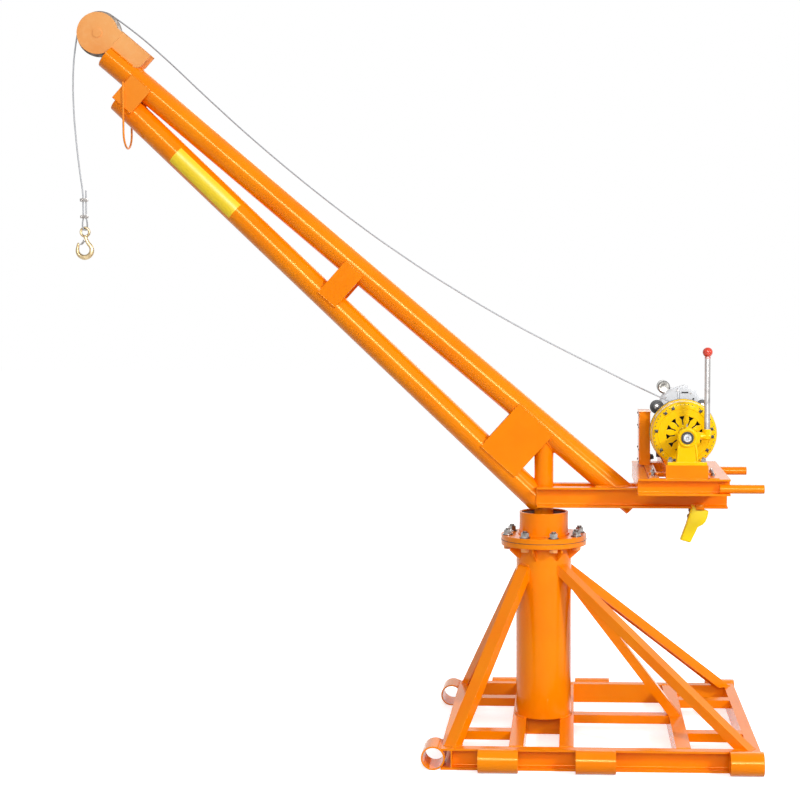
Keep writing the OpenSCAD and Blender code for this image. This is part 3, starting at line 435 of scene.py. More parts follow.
# %% Hoist rope
sheave_low, sheave_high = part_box("sheave")
sheave_centre = (sheave_low + sheave_high) / 2
groove_depth, groove_play = 6 * MM, 0.8 * MM
rope_on_sheave = (sheave_high.z - sheave_low.z) / 2 - groove_depth + rope_diameter / 2 + groove_play
rope_points = [Vector((x, 0, z)) * MM for x, z in drum_side]
for degrees in range(55, 173, 13):
    turn = math.radians(degrees)
    rope_points.append(sheave_centre + rope_on_sheave * Vector((math.cos(turn), 0, math.sin(turn))))
rope_points += [Vector(p) * MM for p in hook_side]
rope_line = smooth_line(rope_points, 4)
hoist_rope = swept("hoist_wire_rope", [rope_line], rope_diameter / 2, rope_wire, sides=3)
place_piece(hoist_rope, "boom", ["hoist_rope"])

# %% [markdown]
# ## Bolts and nuts
# The two flanges are clamped by eight M20 bolts with their nuts on top. A real nut is a hexagon
# whose upper corners are turned away, a washer spreads its load, and two or three turns of thread
# stand out of it. A six-sided cone gives the hexagon, a bevel on its outer face turns the corners,
# and a lathe turns the thread from a zigzag outline, which costs far fewer faces than a true
# helix.

# %% Proportions of a bolt, as shares of its size
Z_UP = Vector((0, 0, 1))
WASHER_THICK, WASHER_RADIUS = 0.14, 0.92
ACROSS_FLATS, NUT_HEIGHT, HEAD_HEIGHT = 1.5, 0.8, 0.62
THREAD_ROOT, THREAD_PITCH = 0.88, 2.5 * MM
print("an M20 nut is", 20 * ACROSS_FLATS, "mm across its flats")


# %% Fasteners
def hexagon(bm, foot, way, across, height):
    foot, way = Vector(foot), Vector(way).normalized()
    made = rod(bm, foot, foot + way * height, across / math.sqrt(3), sides=6)
    outer = {v for v in made if (v.co - foot).dot(way) > height * 0.9}
    rim = [e for e in bm.edges if e.verts[0] in outer and e.verts[1] in outer]
    bmesh.ops.bevel(bm, geom=rim, offset=across * 0.06, affect="EDGES", segments=2, profile=0.5,
                    material=-1)


def thread(bm, foot, way, radius, length):
    turns = max(2, round(length / THREAD_PITCH))
    root = radius * THREAD_ROOT
    outline = [(0, 0), (0, root)]
    for turn in range(turns):
        outline += [((turn + 0.5) * length / turns, radius), ((turn + 1) * length / turns, root)]
    lathe(bm, outline + [(length, 0)], foot, way, steps=20)


def washer(bm, foot, way, size):
    rod(bm, foot, foot + way * size * WASHER_THICK, size * WASHER_RADIUS, sides=28)


def nut_set(bm, foot, way, size, proud=0.5):
    """Washer, nut and thread end of a bolt of the given size; proud is in bolt diameters."""
    foot, way = Vector(foot), Vector(way).normalized()
    washer(bm, foot, way, size)
    hexagon(bm, foot + way * size * WASHER_THICK, way, size * ACROSS_FLATS, size * NUT_HEIGHT)
    thread(bm, foot + way * size * 0.94, way, size / 2, size * proud)


def head_set(bm, foot, way, size):
    """Washer and head of a bolt."""
    foot, way = Vector(foot), Vector(way).normalized()
    washer(bm, foot, way, size)
    hexagon(bm, foot + way * size * WASHER_THICK, way, size * ACROSS_FLATS, size * HEAD_HEIGHT)


# %% [markdown]
# ## The flange's bolts
# The hub stands on a turned washer at each bolt, and its nuts are bare zinc. The turned washers are
# dark blued steel, which paints in the shade under each nut. The bolt heads under the lower flange
# went through the paint shop with the column, so they are a pale orange.

# %% Flange bolts
column_top, hub_base = 765, 805
bolt_circle, first_bolt, flange_bolt, washer_top = 147.5, 16, 20 * MM, 2.6
nuts, heads, washers = bmesh.new(), bmesh.new(), bmesh.new()
for i in range(8):
    turn = math.radians(first_bolt + 45 * i)
    x, y = bolt_circle * math.cos(turn), bolt_circle * math.sin(turn)
    nut_set(nuts, mm(x, y, hub_base + washer_top), Z_UP, flange_bolt, 0.32)
    rod(nuts, mm(x, y, column_top), mm(x, y, hub_base), flange_bolt / 2, sides=20)
    head_set(heads, mm(x, y, column_top), -Z_UP, flange_bolt)
    turned(washers, [(0, 0), (0, 20), (0.8, 21), (washer_top, 21), (washer_top, 0)],
           mm(x, y, hub_base), Z_UP, steps=32)
end_piece(nuts, "flange_nuts", zinc_plate, "base", ["flange_bolts"])
end_piece(heads, "flange_bolt_heads", bleached_enamel, "base", ["flange_bolts"])
# The washers' dark steel is painted shade under the nuts.
end_piece(washers, "flange_washers_with_painted_shade", spring_steel, "base", ["flange_bolts"])

# %% [markdown]
# ## Weld beads
# The whole crane is put together with arc welding. A bead is a row of small overlapping scales,
# about 5 mm apart, where the arc paused. Each bead here is a thin bar swept along its joint, and
# its thickness rises and falls from scale to scale. The joints are worked out from the sizes of
# the parts, so a bead lies exactly where two of them meet. All beads are under the same paint as
# the steel.

# %% Bead sizes
random.seed(7)
HALF_SCALE = 2.6 * MM
FULL_BEAD = 4.0
print("weld scales every", round(2 * HALF_SCALE / MM, 1), "mm")


# %% Bead helpers
def bead(points, size=FULL_BEAD):
    """Ripples of a weld along a line of points: a list of (x, y, z, share of the thickness)."""
    line, carry, count = [], 0.0, 0
    for a, b in zip(points, points[1:]):
        span = (b - a).length
        while carry <= span:
            swell = 1.0 if count % 2 else 0.76
            share = size / FULL_BEAD * (swell + random.uniform(-0.08, 0.08))
            line.append((*(a + (b - a) * (carry / span)), share))
            count += 1
            carry += HALF_SCALE
        carry -= span
    return line


def seam(start, end, size):
    """A straight bead between two points given in millimetres."""
    return bead([mm(*start), mm(*end)], size)


def ring(radius, z, start=0, end=360, step=4):
    count = max(2, round(abs(end - start) / step))
    turns = [math.radians(start + (end - start) * k / count) for k in range(count + 1)]
    return [mm(radius * math.cos(t), radius * math.sin(t), z) for t in turns]


def weld_piece(name, strands, body):
    strands = [s for s in strands if len(s) > 1]
    piece = swept(name, strands, FULL_BEAD * MM, orange_enamel, sides=2)
    place_piece(piece, body)
    print("beads:", len(strands))


# %% [markdown]
# ## Welds of the column
# The column stands between two beams, so its foot is welded in two arcs. A bead runs round under
# the flange and round the hub's foot, and each of the eight ribs has a bead on both sides, down
# the column and out under the flange.

# %% Beads on the column
frame_top, column_r, first_rib = 80, 109.5, 29
base_beads = []
for side in (0, 180):
    base_beads.append(bead(ring(column_r + 1.5, frame_top + 1, side - 52, side + 52), 4.5))
base_beads.append(bead(ring(column_r + 1, column_top - 1), 3.5))
base_beads.append(bead(ring(98, hub_base + 1.5), 4.5))
for i in range(8):
    turn = math.radians(first_rib + 45 * i)
    out = Vector((math.cos(turn), math.sin(turn), 0))
    across = Vector((-math.sin(turn), math.cos(turn), 0))
    for side in (-1, 1):
        beside = across * side * 4.5 * MM
        down = [out * 110 * MM + beside + mm(0, 0, column_top - h) for h in (54, 3)]
        along = [out * r * MM + beside + mm(0, 0, column_top - 1) for r in (112, 150)]
        base_beads += [bead(down, 2.4), bead(along, 2.4)]
print("beads on the column:", len(base_beads))

# %% [markdown]
# ## Welds of the braces
# A brace is a channel that leans against the column, so its cut end follows the column's round.
# Each line along the brace is cut with the column's cylinder, which is a quadratic in the
# distance, and with the frame's top, which is a plane. The points where they meet are the bead's
# line.


# %% Where a brace meets the column and the frame
def brace_lines(foot, head, corners):
    """The starts of the lines along a brace, in millimetres, and the way they run."""
    foot = Vector(foot)
    span = Vector(head) - foot
    turn = Matrix.Rotation(math.atan2(span.y, span.x), 3, "Z")
    lean = Matrix.Rotation(math.atan2(math.hypot(span.x, span.y), span.z), 3, "Y")
    return [foot + turn @ lean @ Vector((x, y, 0)) for x, y in corners], turn @ lean @ Z_UP


def on_column(foot, head, corners):
    starts, way = brace_lines(foot, head, corners)
    met = []
    for start in starts:
        a = way.x ** 2 + way.y ** 2
        b = start.x * way.x + start.y * way.y
        c = start.x ** 2 + start.y ** 2 - (column_r + 1) ** 2
        if b * b > a * c:
            hit = start + way * ((-b - math.sqrt(b * b - a * c)) / a)
            if hit.z < head[2]:
                met.append(hit)
    return met


def on_frame(foot, head, corners):
    starts, way = brace_lines(foot, head, corners)
    return [s + way * ((frame_top - s.z) / way.z) for s in starts]


# %% Beads on the braces
brace_width, brace_depth = 50, 37
half_width = brace_width / 2 + 1
near_flange = [(x, -half_width) for x in range(brace_depth, -1, -3)]
far_flange = [(x, half_width) for x in range(0, brace_depth + 1, 3)]
back = [(-1, y) for y in range(-22, 23, 4)]
corner_y, corner_head, on_diagonal = 509, 690, 77.4
braces = []
for x, head_x in ((-341, -on_diagonal), (777, on_diagonal)):
    for side in (-1, 1):
        head = (head_x, side * on_diagonal, corner_head)
        braces.append(((x, side * corner_y, frame_top), head))
braces.append(((545, 0, frame_top), (column_r, 0, 650)))
for foot, head in braces:
    for flange in (near_flange, far_flange):
        met = on_column(foot, head, flange)
        if len(met) > 1:
            base_beads.append(bead([p * MM for p in met], 3.2))
    around = on_frame(foot, head, near_flange + back + far_flange)
    base_beads.append(bead([p * MM for p in around], 3.4))
    heading = math.degrees(math.atan2(head[1], head[0]))
    reach = math.degrees(math.asin(half_width / column_r))
    cut = ring(column_r + 1, head[2] + 1, heading - reach, heading + reach, 3)
    base_beads.append(bead(cut, 3.4))
print("braces:", len(braces))

# %% [markdown]
# ## Welds of the frame
# The sockets lie in the channels and are welded along them, above and below. The channels' corners
# and the short cross rails have one bead each, on top and down the side.

# %% Beads on the frame
rail_back, half_rail = 497, 27
for side in (-1, 1):
    for start, length in ((-232, 148), (127, 148), (691, 123)):
        for y, z in ((541.5, frame_top), (542, 8)):
            base_beads.append(seam((start, side * y, z), (start + length, side * y, z), 3.2))
    base_beads.append(seam((-373.5, side * 416, frame_top), (-373.5, side * 546, frame_top), 3.2))
    for x in (-329, 765):
        base_beads.append(seam((x, side * 498, 80.5), (x, side * 540, 80.5), 2.6))
    for x in (66, 121, -66, -121, 500, 555):
        base_beads.append(seam((x, side * rail_back, 40), (x, side * rail_back, frame_top), 2.6))
    for x in (93.5, -93.5, 527.5):
        base_beads.append(seam((x - half_rail, side * rail_back, 80.5),
                               (x + half_rail, side * rail_back, 80.5), 2.6))
weld_piece("base_weld_beads", base_beads, "base")

# %% [markdown]
# ## Painted joint shade and grease
# A thin black ring stands between the two flanges as painted shade in the joint. On the bearing
# inside the hub lies old grease, dark brown and matt. Both are rings, so a closed outline of four
# or six points is turned.

# %% Painted joint shade and grease
flange_seam = 785
# The black ring is painted shade for the joint between the flanges.
bm = bmesh.new()
turned(bm, [(-0.9, 165), (-0.9, 170.9), (0.9, 170.9), (0.9, 165)], mm(0, 0, flange_seam), Z_UP,
       steps=96)
end_piece(bm, "flange_joint_painted_shade", black_rubber, "base")

bm = bmesh.new()
turned(bm, [(876, 46), (884, 46), (887, 52), (886, 70), (889, 87.5), (876, 87.5)], mm(0, 0, 0),
       Z_UP)
end_piece(bm, "bearing_grease", old_grease, "base")

# %% [markdown]
# ## Welds of the boom
# Three pairs of plates join the two tubes, and each plate is welded along its two long edges. The
# mast ends against the round of the upper tube, so its bead is a saddle: for each point round the
# mast, the tube's underside gives the height.

# %% Lines of the boom, in millimetres
upper_z, lower_z, deck_z, deck_top = 1230, 919, 1000, 1063
upper_turn, lower_turn = math.radians(40.3), math.radians(43.7)
upper_reach, tube_r, tube_side, mast_r = 2267, 51, 54, 38
on_upper = Matrix.Translation(mm(0, 0, upper_z)) @ Matrix.Rotation(upper_turn, 4, "Y")
on_lower = Matrix.Translation(mm(0, 0, lower_z)) @ Matrix.Rotation(lower_turn, 4, "Y")
plate_turn = (upper_turn + lower_turn) / 2
plate_lean = Matrix.Rotation(plate_turn, 3, "Y")
boom_beads = []
print("angle between the tubes:", round(math.degrees(lower_turn - upper_turn), 1), "degrees")

# %% Beads on the plates
for station, rise, along, past in ((-105, 12, 182, 1), (-800.25, 0, 92, -5), (-1620, 6, 98, 14)):
    high, low = upper_z - station * math.tan(upper_turn), lower_z - station * math.tan(lower_turn)
    half_across = ((high - low) * math.cos(plate_turn) + past) / 2 + 1
    centre = Vector((station, 0, (high + low) / 2 + rise))
    for side in (-1, 1):
        out = Vector((0, side * tube_side, 0))
        for edge in (-1, 1):
            ends = [centre + plate_lean @ Vector((s * along / 2, 0, edge * half_across))
                    for s in (-1, 1)]
            boom_beads.append(bead([(p + out) * MM for p in ends], 4.2))
print("beads on the plates:", len(boom_beads))

# %% Bead round the mast
saddle = []
for k in range(61):
    turn = math.tau * k / 60
    x, y = (mast_r + 1) * math.cos(turn), (mast_r + 1) * math.sin(turn)
    under = -math.sqrt(tube_r ** 2 - min(y * y, 2600))
    saddle.append(mm(x, y, upper_z + (under - x * math.sin(upper_turn)) / math.cos(upper_turn)))
boom_beads.append(bead(saddle, 4.5))
print("scales round the mast:", len(boom_beads[-1]))

# %% Beads of the head, the rope hoop and the platform
hoop_leg = -1652.7
hoop_z = lower_z - hoop_leg * math.tan(lower_turn) + 60
for side in (-1, 1):
    boom_beads.append(seam((-27, side * 53, 924), (-27, side * 53, 998), 4.5))
    boom_beads.append(bead([mm(x, side * 51.5, deck_z + 1) for x in (205, 330)], 4.0))
    arm = [on_upper @ mm(x - upper_reach, side * 37.5, 37) for x in (2, 112)]
    boom_beads.append(bead(arm, 3.4))
    hoop_seam = [(hoop_leg + 4, side * 58, hoop_z + up) for up in (-20, 26)]
    boom_beads.append(seam(*hoop_seam, 2.4))
    for x in (362, 400, 667, 705):
        boom_beads.append(seam((x, side * 299, deck_z + 8), (x, side * 299, deck_top), 2.4))
    boom_beads.append(seam((465, side * 321, deck_top + 1), (625, side * 321, deck_top + 1), 3.0))
    boom_beads.append(seam((668, side * 306, 1041), (702, side * 306, 1041), 2.6))
    boom_beads.append(seam((360, side * 94.5, deck_z + 0.5), (400, side * 94.5, deck_z + 0.5), 2.6))
weld_piece("boom_weld_beads", boom_beads, "boom")

# %% [markdown]
# ## Boom head
# The two cheeks of the head hold the sheave. They are the same painted plate, but they stand in
# the sun at the top of the boom, and the enamel there has bleached to a pale orange. The pin is
# painted over. A thin line across each cheek is the bend where the arm was set to the tube.

# %% Bent line on the cheeks
bm = bmesh.new()
for side in (-1, 1):
    ends = [on_upper @ mm(-upper_reach, side * 36.2, z) for z in (54, 111)]
    rod(bm, ends[0], ends[1], 1.3 * MM, sides=8)
end_piece(bm, "cheek_seams", bleached_enamel, "boom")

# %% [markdown]
# ## Decal
# A strip of yellow vinyl is stuck on the near side of the lower tube. It is bare film, 0.4 mm
# thick. One line along the tube is spun about the tube's axis, which gives a sheet that follows
# the curve exactly, and solidify gives it its thickness.

# %% Vinyl strip
decal_start, decal_end = -2009, -1685
decal_from, decal_to = -40, 46
decal_r = tube_r + 0.25
bm = bmesh.new()
line = [bm.verts.new(on_lower @ mm(x, -decal_r, 0)) for x in (decal_start, decal_end)]
edge = bm.edges.new(line)
tube_axis = (on_lower.to_3x3() @ Vector((1, 0, 0))).normalized()
bmesh.ops.rotate(bm, verts=line, cent=on_lower.translation,
                 matrix=Matrix.Rotation(math.radians(decal_from), 3, tube_axis))
bmesh.ops.spin(bm, geom=line + [edge], cent=on_lower.translation, axis=tube_axis,
               angle=math.radians(decal_to - decal_from), steps=12)
bmesh.ops.solidify(bm, geom=bm.faces[:], thickness=0.4 * MM)
end_piece(bm, "vinyl_strip", vinyl_film, "boom")
print("decal:", decal_end - decal_start, "by",
      round(decal_r * math.radians(decal_to - decal_from)), "mm")

# %% [markdown]
# ## Push handles
# The two handles are cut from pipe, and their ends are open. The bore is turned with the outside
# in one outline, 3 mm apart, with a small break on the edges.

# %% Handles
handle_l, bore_end = 167, 60
pipe_outline = [(0, 0), (0, 15.5), (1.5, 17), (handle_l - 1, 17), (handle_l, 16.2), (handle_l, 14),
                (bore_end, 14), (bore_end, 0)]
bm = bmesh.new()
for side in (-1, 1):
    turned(bm, pipe_outline, mm(667, side * 322.2, 1024.7), (1, 0, 0), steps=40)
end_piece(bm, "pipe_handles", orange_enamel, "boom", ["push_handles"])

# %% [markdown]
# ## Winch drum
# The drum is an iron casting on a steel shaft: a large flange beside the clutch cover, a smaller
# one beside the gearbox and a barrel between them. All of it is round, so one closed outline is
# spun about the shaft. The rope lies on it in two layers of almost 19 turns, each a helix one rope
# diameter apart.

# %% Drum and shaft
winch_x, shaft_z, motor_z = 545, 1217, 1300
drum_at = mm(winch_x, 0, shaft_z)
bm = bmesh.new()
turned(bm, [(-59, 20), (-59, 128), (-57, 131), (-48, 131), (-45, 127), (-45, 66), (-40, 60),
            (70, 60), (75, 66), (75, 109), (78, 112), (86, 112), (89, 109), (89, 20)], drum_at)
end_piece(bm, "drum_casting", black_enamel, "drum", ["drum"])

bm = bmesh.new()
turned(bm, [(-321, 0), (-327, 5), (-328, 6.5), (-328, 14), (-326, 16), (-314, 16), (-314, 20),
            (124, 20), (124, 0)], drum_at, steps=48)
end_piece(bm, "drum_shaft", turned_steel, "drum", ["drum"])

# %% Two layers of rope
turns, per_turn, pitch, first_turn = 18.75, 28, 6.05, -41.5
layer_radii = (75.8, 81.0)
layers = []
for radius in layer_radii:
    helix = []
    for k in range(round(turns * per_turn) + 1):
        angle = math.tau * k / per_turn
        helix.append(drum_at + mm(radius * math.cos(angle), first_turn + pitch * k / per_turn,
                                  radius * math.sin(angle)))
    layers.append(helix)
rope_turns = swept("rope_turns", layers, rope_diameter / 2, rope_wire, sides=2)
place_piece(rope_turns, "drum", ["rope_winding"])
print("rope on the drum:", round(turns * math.tau * sum(layer_radii) * MM, 2), "m")

# %% [markdown]
# ## Clutch cover
# The pressed cover keeps its solid's shape, with its keyhole slots. On its face sit two raised
# rings, and a third runs round its rim. A row of small black discs near the rim is painted shade
# in place of a ring of small holes, and ten square-headed bolts hold the friction plates behind it.

# %% Rings, painted hole shade and square heads
face_y = -149
hole_shade_circle, hole_shade_count, square_circle = 115.5, 48, 108
bm = bmesh.new()
turned(bm, [(face_y + 1, 97), (face_y - 1.6, 99), (face_y - 1.6, 101.5), (face_y + 1, 103.5)],
       drum_at)
turned(bm, [(face_y + 1, 72), (face_y - 1.0, 73.5), (face_y - 1.0, 75), (face_y + 1, 76.5)],
       drum_at)
turned(bm, [(-62, 126), (-70, 129.8), (-73, 129.8), (-75, 126)], drum_at)
end_piece(bm, "cover_rings", yellow_enamel, "drum")

bm = bmesh.new()
# Small black discs near the rim are painted shade in place of the cover's ring of small holes.
for i in range(hole_shade_count):
    turn = math.tau * i / hole_shade_count
    spot = drum_at + mm(hole_shade_circle * math.cos(turn), face_y + 1.2, hole_shade_circle * math.sin(turn))
    rod(bm, spot, spot + mm(0, -1.8, 0), 2.0 * MM, sides=10)
for angle in (174, 132, 114, 55, 11, -5, 215, 250, 292, 325):
    turn = math.radians(angle)
    centre = drum_at + mm(square_circle * math.cos(turn), face_y, square_circle * math.sin(turn))
    place = Matrix.Translation(centre) @ Matrix.Rotation(-turn, 4, "Y")
    box(bm, mm(-5.5, -4, -5.5), mm(5.5, 2, 5.5), place)
    rod(bm, centre + mm(0, -4, 0), centre + mm(0, -6.5, 0), 3.2 * MM, sides=12)
end_piece(bm, "cover_hole_shade_and_square_heads", black_enamel, "drum", bevel=0.4 * MM)

# %% [markdown]
# ## Shaft bearing
# The near end of the shaft runs in a boss on the yellow pedestal. A black seal closes the boss
# round the bright shaft end, two bolts hold the foot, and a grease nipple stands on top. The seal
# and the boss's lip are turned, and the ribs that stiffen the pedestal are thin bars.

# %% Seal, lip, ribs and bolts of the pedestal
rib_y, nipple_y = -314, -292
bm = bmesh.new()
turned(bm, [(-316, 17), (-322, 17), (-323, 18), (-323, 23), (-321, 24), (-316, 24)], drum_at,
       steps=48)
end_piece(bm, "shaft_seal", black_rubber, "boom")

bm = bmesh.new()
turned(bm, [(-318, 27), (-321, 28), (-321, 33), (-318, 35.5), (-312, 36), (-312, 27)], drum_at,
       steps=56)
for side in (-1, 1):
    rod(bm, mm(winch_x + side * 38, rib_y, 1126), mm(winch_x + side * 31, rib_y, 1192), 3 * MM,
        sides=12)
rod(bm, mm(winch_x, nipple_y, shaft_z + 34), mm(winch_x, nipple_y, shaft_z + 40), 8 * MM, sides=24)
end_piece(bm, "bearing_lip", yellow_enamel, "boom", bevel=0.5 * MM)

bm = bmesh.new()
for x in (483, 607):
    nut_set(bm, mm(x, -302, 1125), Z_UP, 12 * MM, 0.5)
rod(bm, mm(winch_x, nipple_y, shaft_z + 40), mm(winch_x, nipple_y, shaft_z + 46), 3.4 * MM, sides=6)
rod(bm, mm(winch_x, nipple_y, shaft_z + 46), mm(winch_x, nipple_y, shaft_z + 51), 2.2 * MM,
    sides=16)
hexagon(bm, mm(582, -235, shaft_z), (-1, 0, 0), 17 * MM, 6 * MM)
end_piece(bm, "pedestal_bolts", zinc_plate, "boom")

# %% [markdown]
# ## Clutch lever
# The lever is a bar of bright steel in a yellow clamp that turns on a pin in the pedestal's ear.
# The knob is a ball of red phenolic with a short neck, screwed on to the bar's end. Each is round,
# so each is turned.

# %% Lever, clamp and knob
lever_at = mm(625, -235, shaft_z)
bm = bmesh.new()
turned(bm, [(8, 0), (8, 11), (302, 11), (305, 9), (305, 0)], lever_at, (0, 0, 1), steps=40)
end_piece(bm, "lever_bar", lever_steel, "lever", ["clutch_lever"])

bm = bmesh.new()
turned(bm, [(-31, 0), (-31, 13), (-29, 15), (13, 15), (14, 14), (14, 0)], lever_at, (1, 0, 0),
       steps=40)
turned(bm, [(-12, 0), (-12, 14), (-10, 15.5), (24, 15.5), (27, 13), (27, 0)], lever_at, (0, 0, 1),
       steps=40)
end_piece(bm, "lever_clamp", yellow_enamel, "lever", ["clutch_lever"])

ball_r, ball_height = 19, 320
angles = [math.radians(a) for a in range(0, 150, 6)]
ball = [(ball_height + ball_r * math.cos(a), ball_r * math.sin(a)) for a in angles]
bm = bmesh.new()
turned(bm, ball + [(302, 10), (299, 11.5), (297, 11.5), (297, 0)], lever_at, (0, 0, 1), steps=48)
end_piece(bm, "lever_ball", knob_phenolic, "lever", ["lever_knob"])

# %% [markdown]
# ## Gearbox
# Behind the drum stands the gearbox. Its front plate is black, with an ear at each upper corner,
# and its housing is a silver casting: a round upper half about the motor's axis on a square foot,
# with a raised cover, stiffening ribs and a ring of bolts. Bevels round it as the sand mould does.

# %% Front plate and housing
plate_y, casing_y, casing_end = 96, 108, 151
ears = ((451, 1305, 28), (633, 1311, 24))
bm = bmesh.new()
box(bm, mm(449, plate_y, 1103), mm(641, casing_y, 1301))
for ear_x, ear_z, ear_r in ears:
    rod(bm, mm(ear_x, plate_y, ear_z), mm(ear_x, casing_y, ear_z), ear_r * MM, sides=40)
    rod(bm, mm(ear_x, plate_y - 3, ear_z), mm(ear_x, plate_y, ear_z), (ear_r - 9) * MM, sides=32)
end_piece(bm, "gearbox_front", black_enamel, "boom", ["gearbox"], bevel=1.5 * MM)

motor_at = mm(winch_x, 0, motor_z)
bm = bmesh.new()
turned(bm, [(casing_y - 6, 0), (casing_y - 6, 79), (casing_y - 2, 85), (casing_y + 2, 86),
            (147, 86), (casing_end, 82), (casing_end, 0)], motor_at)
turned(bm, [(casing_y - 9, 0), (casing_y - 9, 34), (casing_y - 5, 38), (casing_y - 5, 0)], motor_at)
box(bm, mm(465, casing_y, 1103), mm(625, casing_end - 2, motor_z))
box(bm, mm(534, casing_y - 8.5, 1300), mm(541, casing_y - 4, 1382))
box(bm, mm(541, casing_y - 2, 1368), mm(575, 140, 1389.5))
rod(bm, mm(558, 118, 1386), mm(558, 118, 1394), 7 * MM, sides=6)
box(bm, mm(584, 110, 1352), mm(610, 140, 1371))
end_piece(bm, "gearbox_housing", motor_enamel, "boom", ["gearbox"], bevel=1.6 * MM)

# %% Bolts of the gearbox, painted shade in its seam and slot, and a dark dot
bm = bmesh.new()
for i in range(8):
    turn = math.radians(10 + 45 * i)
    spot = motor_at + mm(72 * math.cos(turn), casing_y - 6, 72 * math.sin(turn))
    rod(bm, spot, spot + mm(0, -2.5, 0), 3.6 * MM, sides=18, end_radius=3 * MM)
for ear_x, ear_z, _ in ears:
    head_set(bm, mm(ear_x, plate_y - 3, ear_z), (0, -1, 0), 12 * MM)
for x in (462, 628):
    for z in (1130, 1190, 1250):
        head_set(bm, mm(x, plate_y, z), (0, -1, 0), 8 * MM)
end_piece(bm, "gearbox_bolts", zinc_plate, "boom")

# Black strips are painted shade in the seam beside the rib and in a slot, and a small dark dot sits
# beside them.
bm = bmesh.new()
box(bm, mm(550, casing_y - 7.2, 1360), mm(577, casing_y - 4, 1366))
box(bm, mm(541.5, casing_y - 6.4, 1300), mm(543, casing_y - 4, 1368))
rod(bm, mm(597, casing_y - 4, 1337), mm(597, casing_y - 7.4, 1337), 4 * MM, sides=20)
end_piece(bm, "gearbox_painted_shade_and_dot", black_rubber, "boom")

# %% [markdown]
# ## Motor
# An electric motor is a finned tube with a flange at one end and a cowl over its fan at the other.
# One fin is a thin box, turned to its place round the axis 32 times. The cowl's grille is three
# rings of black discs on its face, painted shade in place of its holes. A terminal box stands on
# the motor's side.

# %% Motor body, fins and cowl
bm = bmesh.new()
turned(bm, [(151, 0), (151, 74), (158, 76), (163, 72), (163, 69), (288, 69), (288, 74), (308, 76),
            (320, 70), (330, 58), (331, 54), (331, 0)], motor_at)
for i in range(32):
    place = Matrix.Translation(motor_at) @ Matrix.Rotation(math.tau * i / 32, 4, "Y")
    box(bm, mm(67, 164, -1.3), mm(75, 287, 1.3), place)
box(bm, mm(620, 196, 1268), mm(656, 272, 1332))
box(bm, mm(656, 193, 1265), mm(660, 275, 1335))
for x in (497, 593):
    box(bm, mm(x - 14, 176, 1224), mm(x + 14, 190, 1262))
end_piece(bm, "motor_body", motor_enamel, "boom", ["motor"], bevel=0.7 * MM)

# %% Painted hole shade on the cowl, and screws
bm = bmesh.new()
# Black discs on the cowl are painted shade in place of the grille's holes.
for radius, count in ((20, 10), (32, 16), (44, 22)):
    for i in range(count):
        turn = math.tau * i / count
        spot = motor_at + mm(radius * math.cos(turn), 330.2, radius * math.sin(turn))
        rod(bm, spot, spot + mm(0, 1.2, 0), 3.2 * MM, sides=12)
end_piece(bm, "cowl_painted_hole_shade", black_enamel, "boom")

bm = bmesh.new()
for y in (199, 269):
    for z in (1271, 1329):
        rod(bm, mm(660, y, z), mm(662, y, z), 3.2 * MM, sides=14)
for i in range(4):
    turn = math.radians(45 + 90 * i)
    spot = motor_at + mm(71 * math.cos(turn), 312, 71 * math.sin(turn))
    rod(bm, spot, spot + mm(0, 8, 0), 3 * MM, sides=12)
end_piece(bm, "motor_screws", zinc_plate, "boom")

# %% [markdown]
# ## Capacitor
# The motor starts with the help of a capacitor, a drawn aluminium can that lies along the motor's
# shoulder. Two black straps hold it on a saddle. The can and the straps are turned, and the saddle
# is a box leaned to the motor's round.

# %% Capacitor and its saddle
can_at = mm(482.7, 0, 1379.7)
bm = bmesh.new()
turned(bm, [(165, 0), (165, 14), (164, 16), (164, 19), (168, 23.5), (174, 24.6), (256, 24.6),
            (262, 22), (263, 18), (263, 0)], can_at, steps=48)
end_piece(bm, "capacitor_can", can_aluminium, "boom", ["capacitor"])

bm = bmesh.new()
for y in (170, 246):
    turned(bm, [(y, 23), (y, 25.4), (y + 8, 25.4), (y + 8, 23)], can_at, steps=48)
lean = Matrix.Translation(motor_at) @ Matrix.Rotation(math.radians(-38), 4, "Y")
box(bm, mm(-15, 168, 68), mm(15, 258, 79), lean)
end_piece(bm, "capacitor_straps", black_rubber, "boom", bevel=0.8 * MM)

# %% [markdown]
# ## Control box
# The control box is folded from sheet. Its lid is screwed on to the side that faces the boom, its
# top overhangs a little to shed rain, and two glands stand low on the opposite side. Sheet is
# drawn as thin boxes whose edges are broken a little.

# %% Lid, hood, screws and glands
bm = bmesh.new()
box(bm, mm(381.6, 123, 1071), mm(384.5, 267, 1279))
box(bm, mm(380, 118, 1281), mm(429, 272, 1284.5))
for y in (124, 262):
    box(bm, mm(384, y, 1067.5), mm(436, y + 4, 1071))
end_piece(bm, "control_lid", orange_enamel, "boom", bevel=0.9 * MM)

bm = bmesh.new()
for y in (130, 260):
    for z in (1080, 1130, 1220, 1270):
        rod(bm, mm(381.6, y, z), mm(378.6, y, z), 4.4 * MM, sides=16, end_radius=3.6 * MM)
end_piece(bm, "control_screws", spring_steel, "boom")

bm = bmesh.new()
for y in (165, 225):
    turned(bm, [(0, 0), (0, 10), (6, 10), (7, 8), (16, 7), (17, 5), (17, 0)], mm(426, y, 1095),
           (1, 0, 0), steps=20)
end_piece(bm, "cable_glands", black_rubber, "boom")

# %% [markdown]
# ## Hold-down clips
# Short lugs reach from the winch base on to the slotted rails, and an M10 bolt in a slot holds
# each one. Two more bolts wait in each rail's end slots.

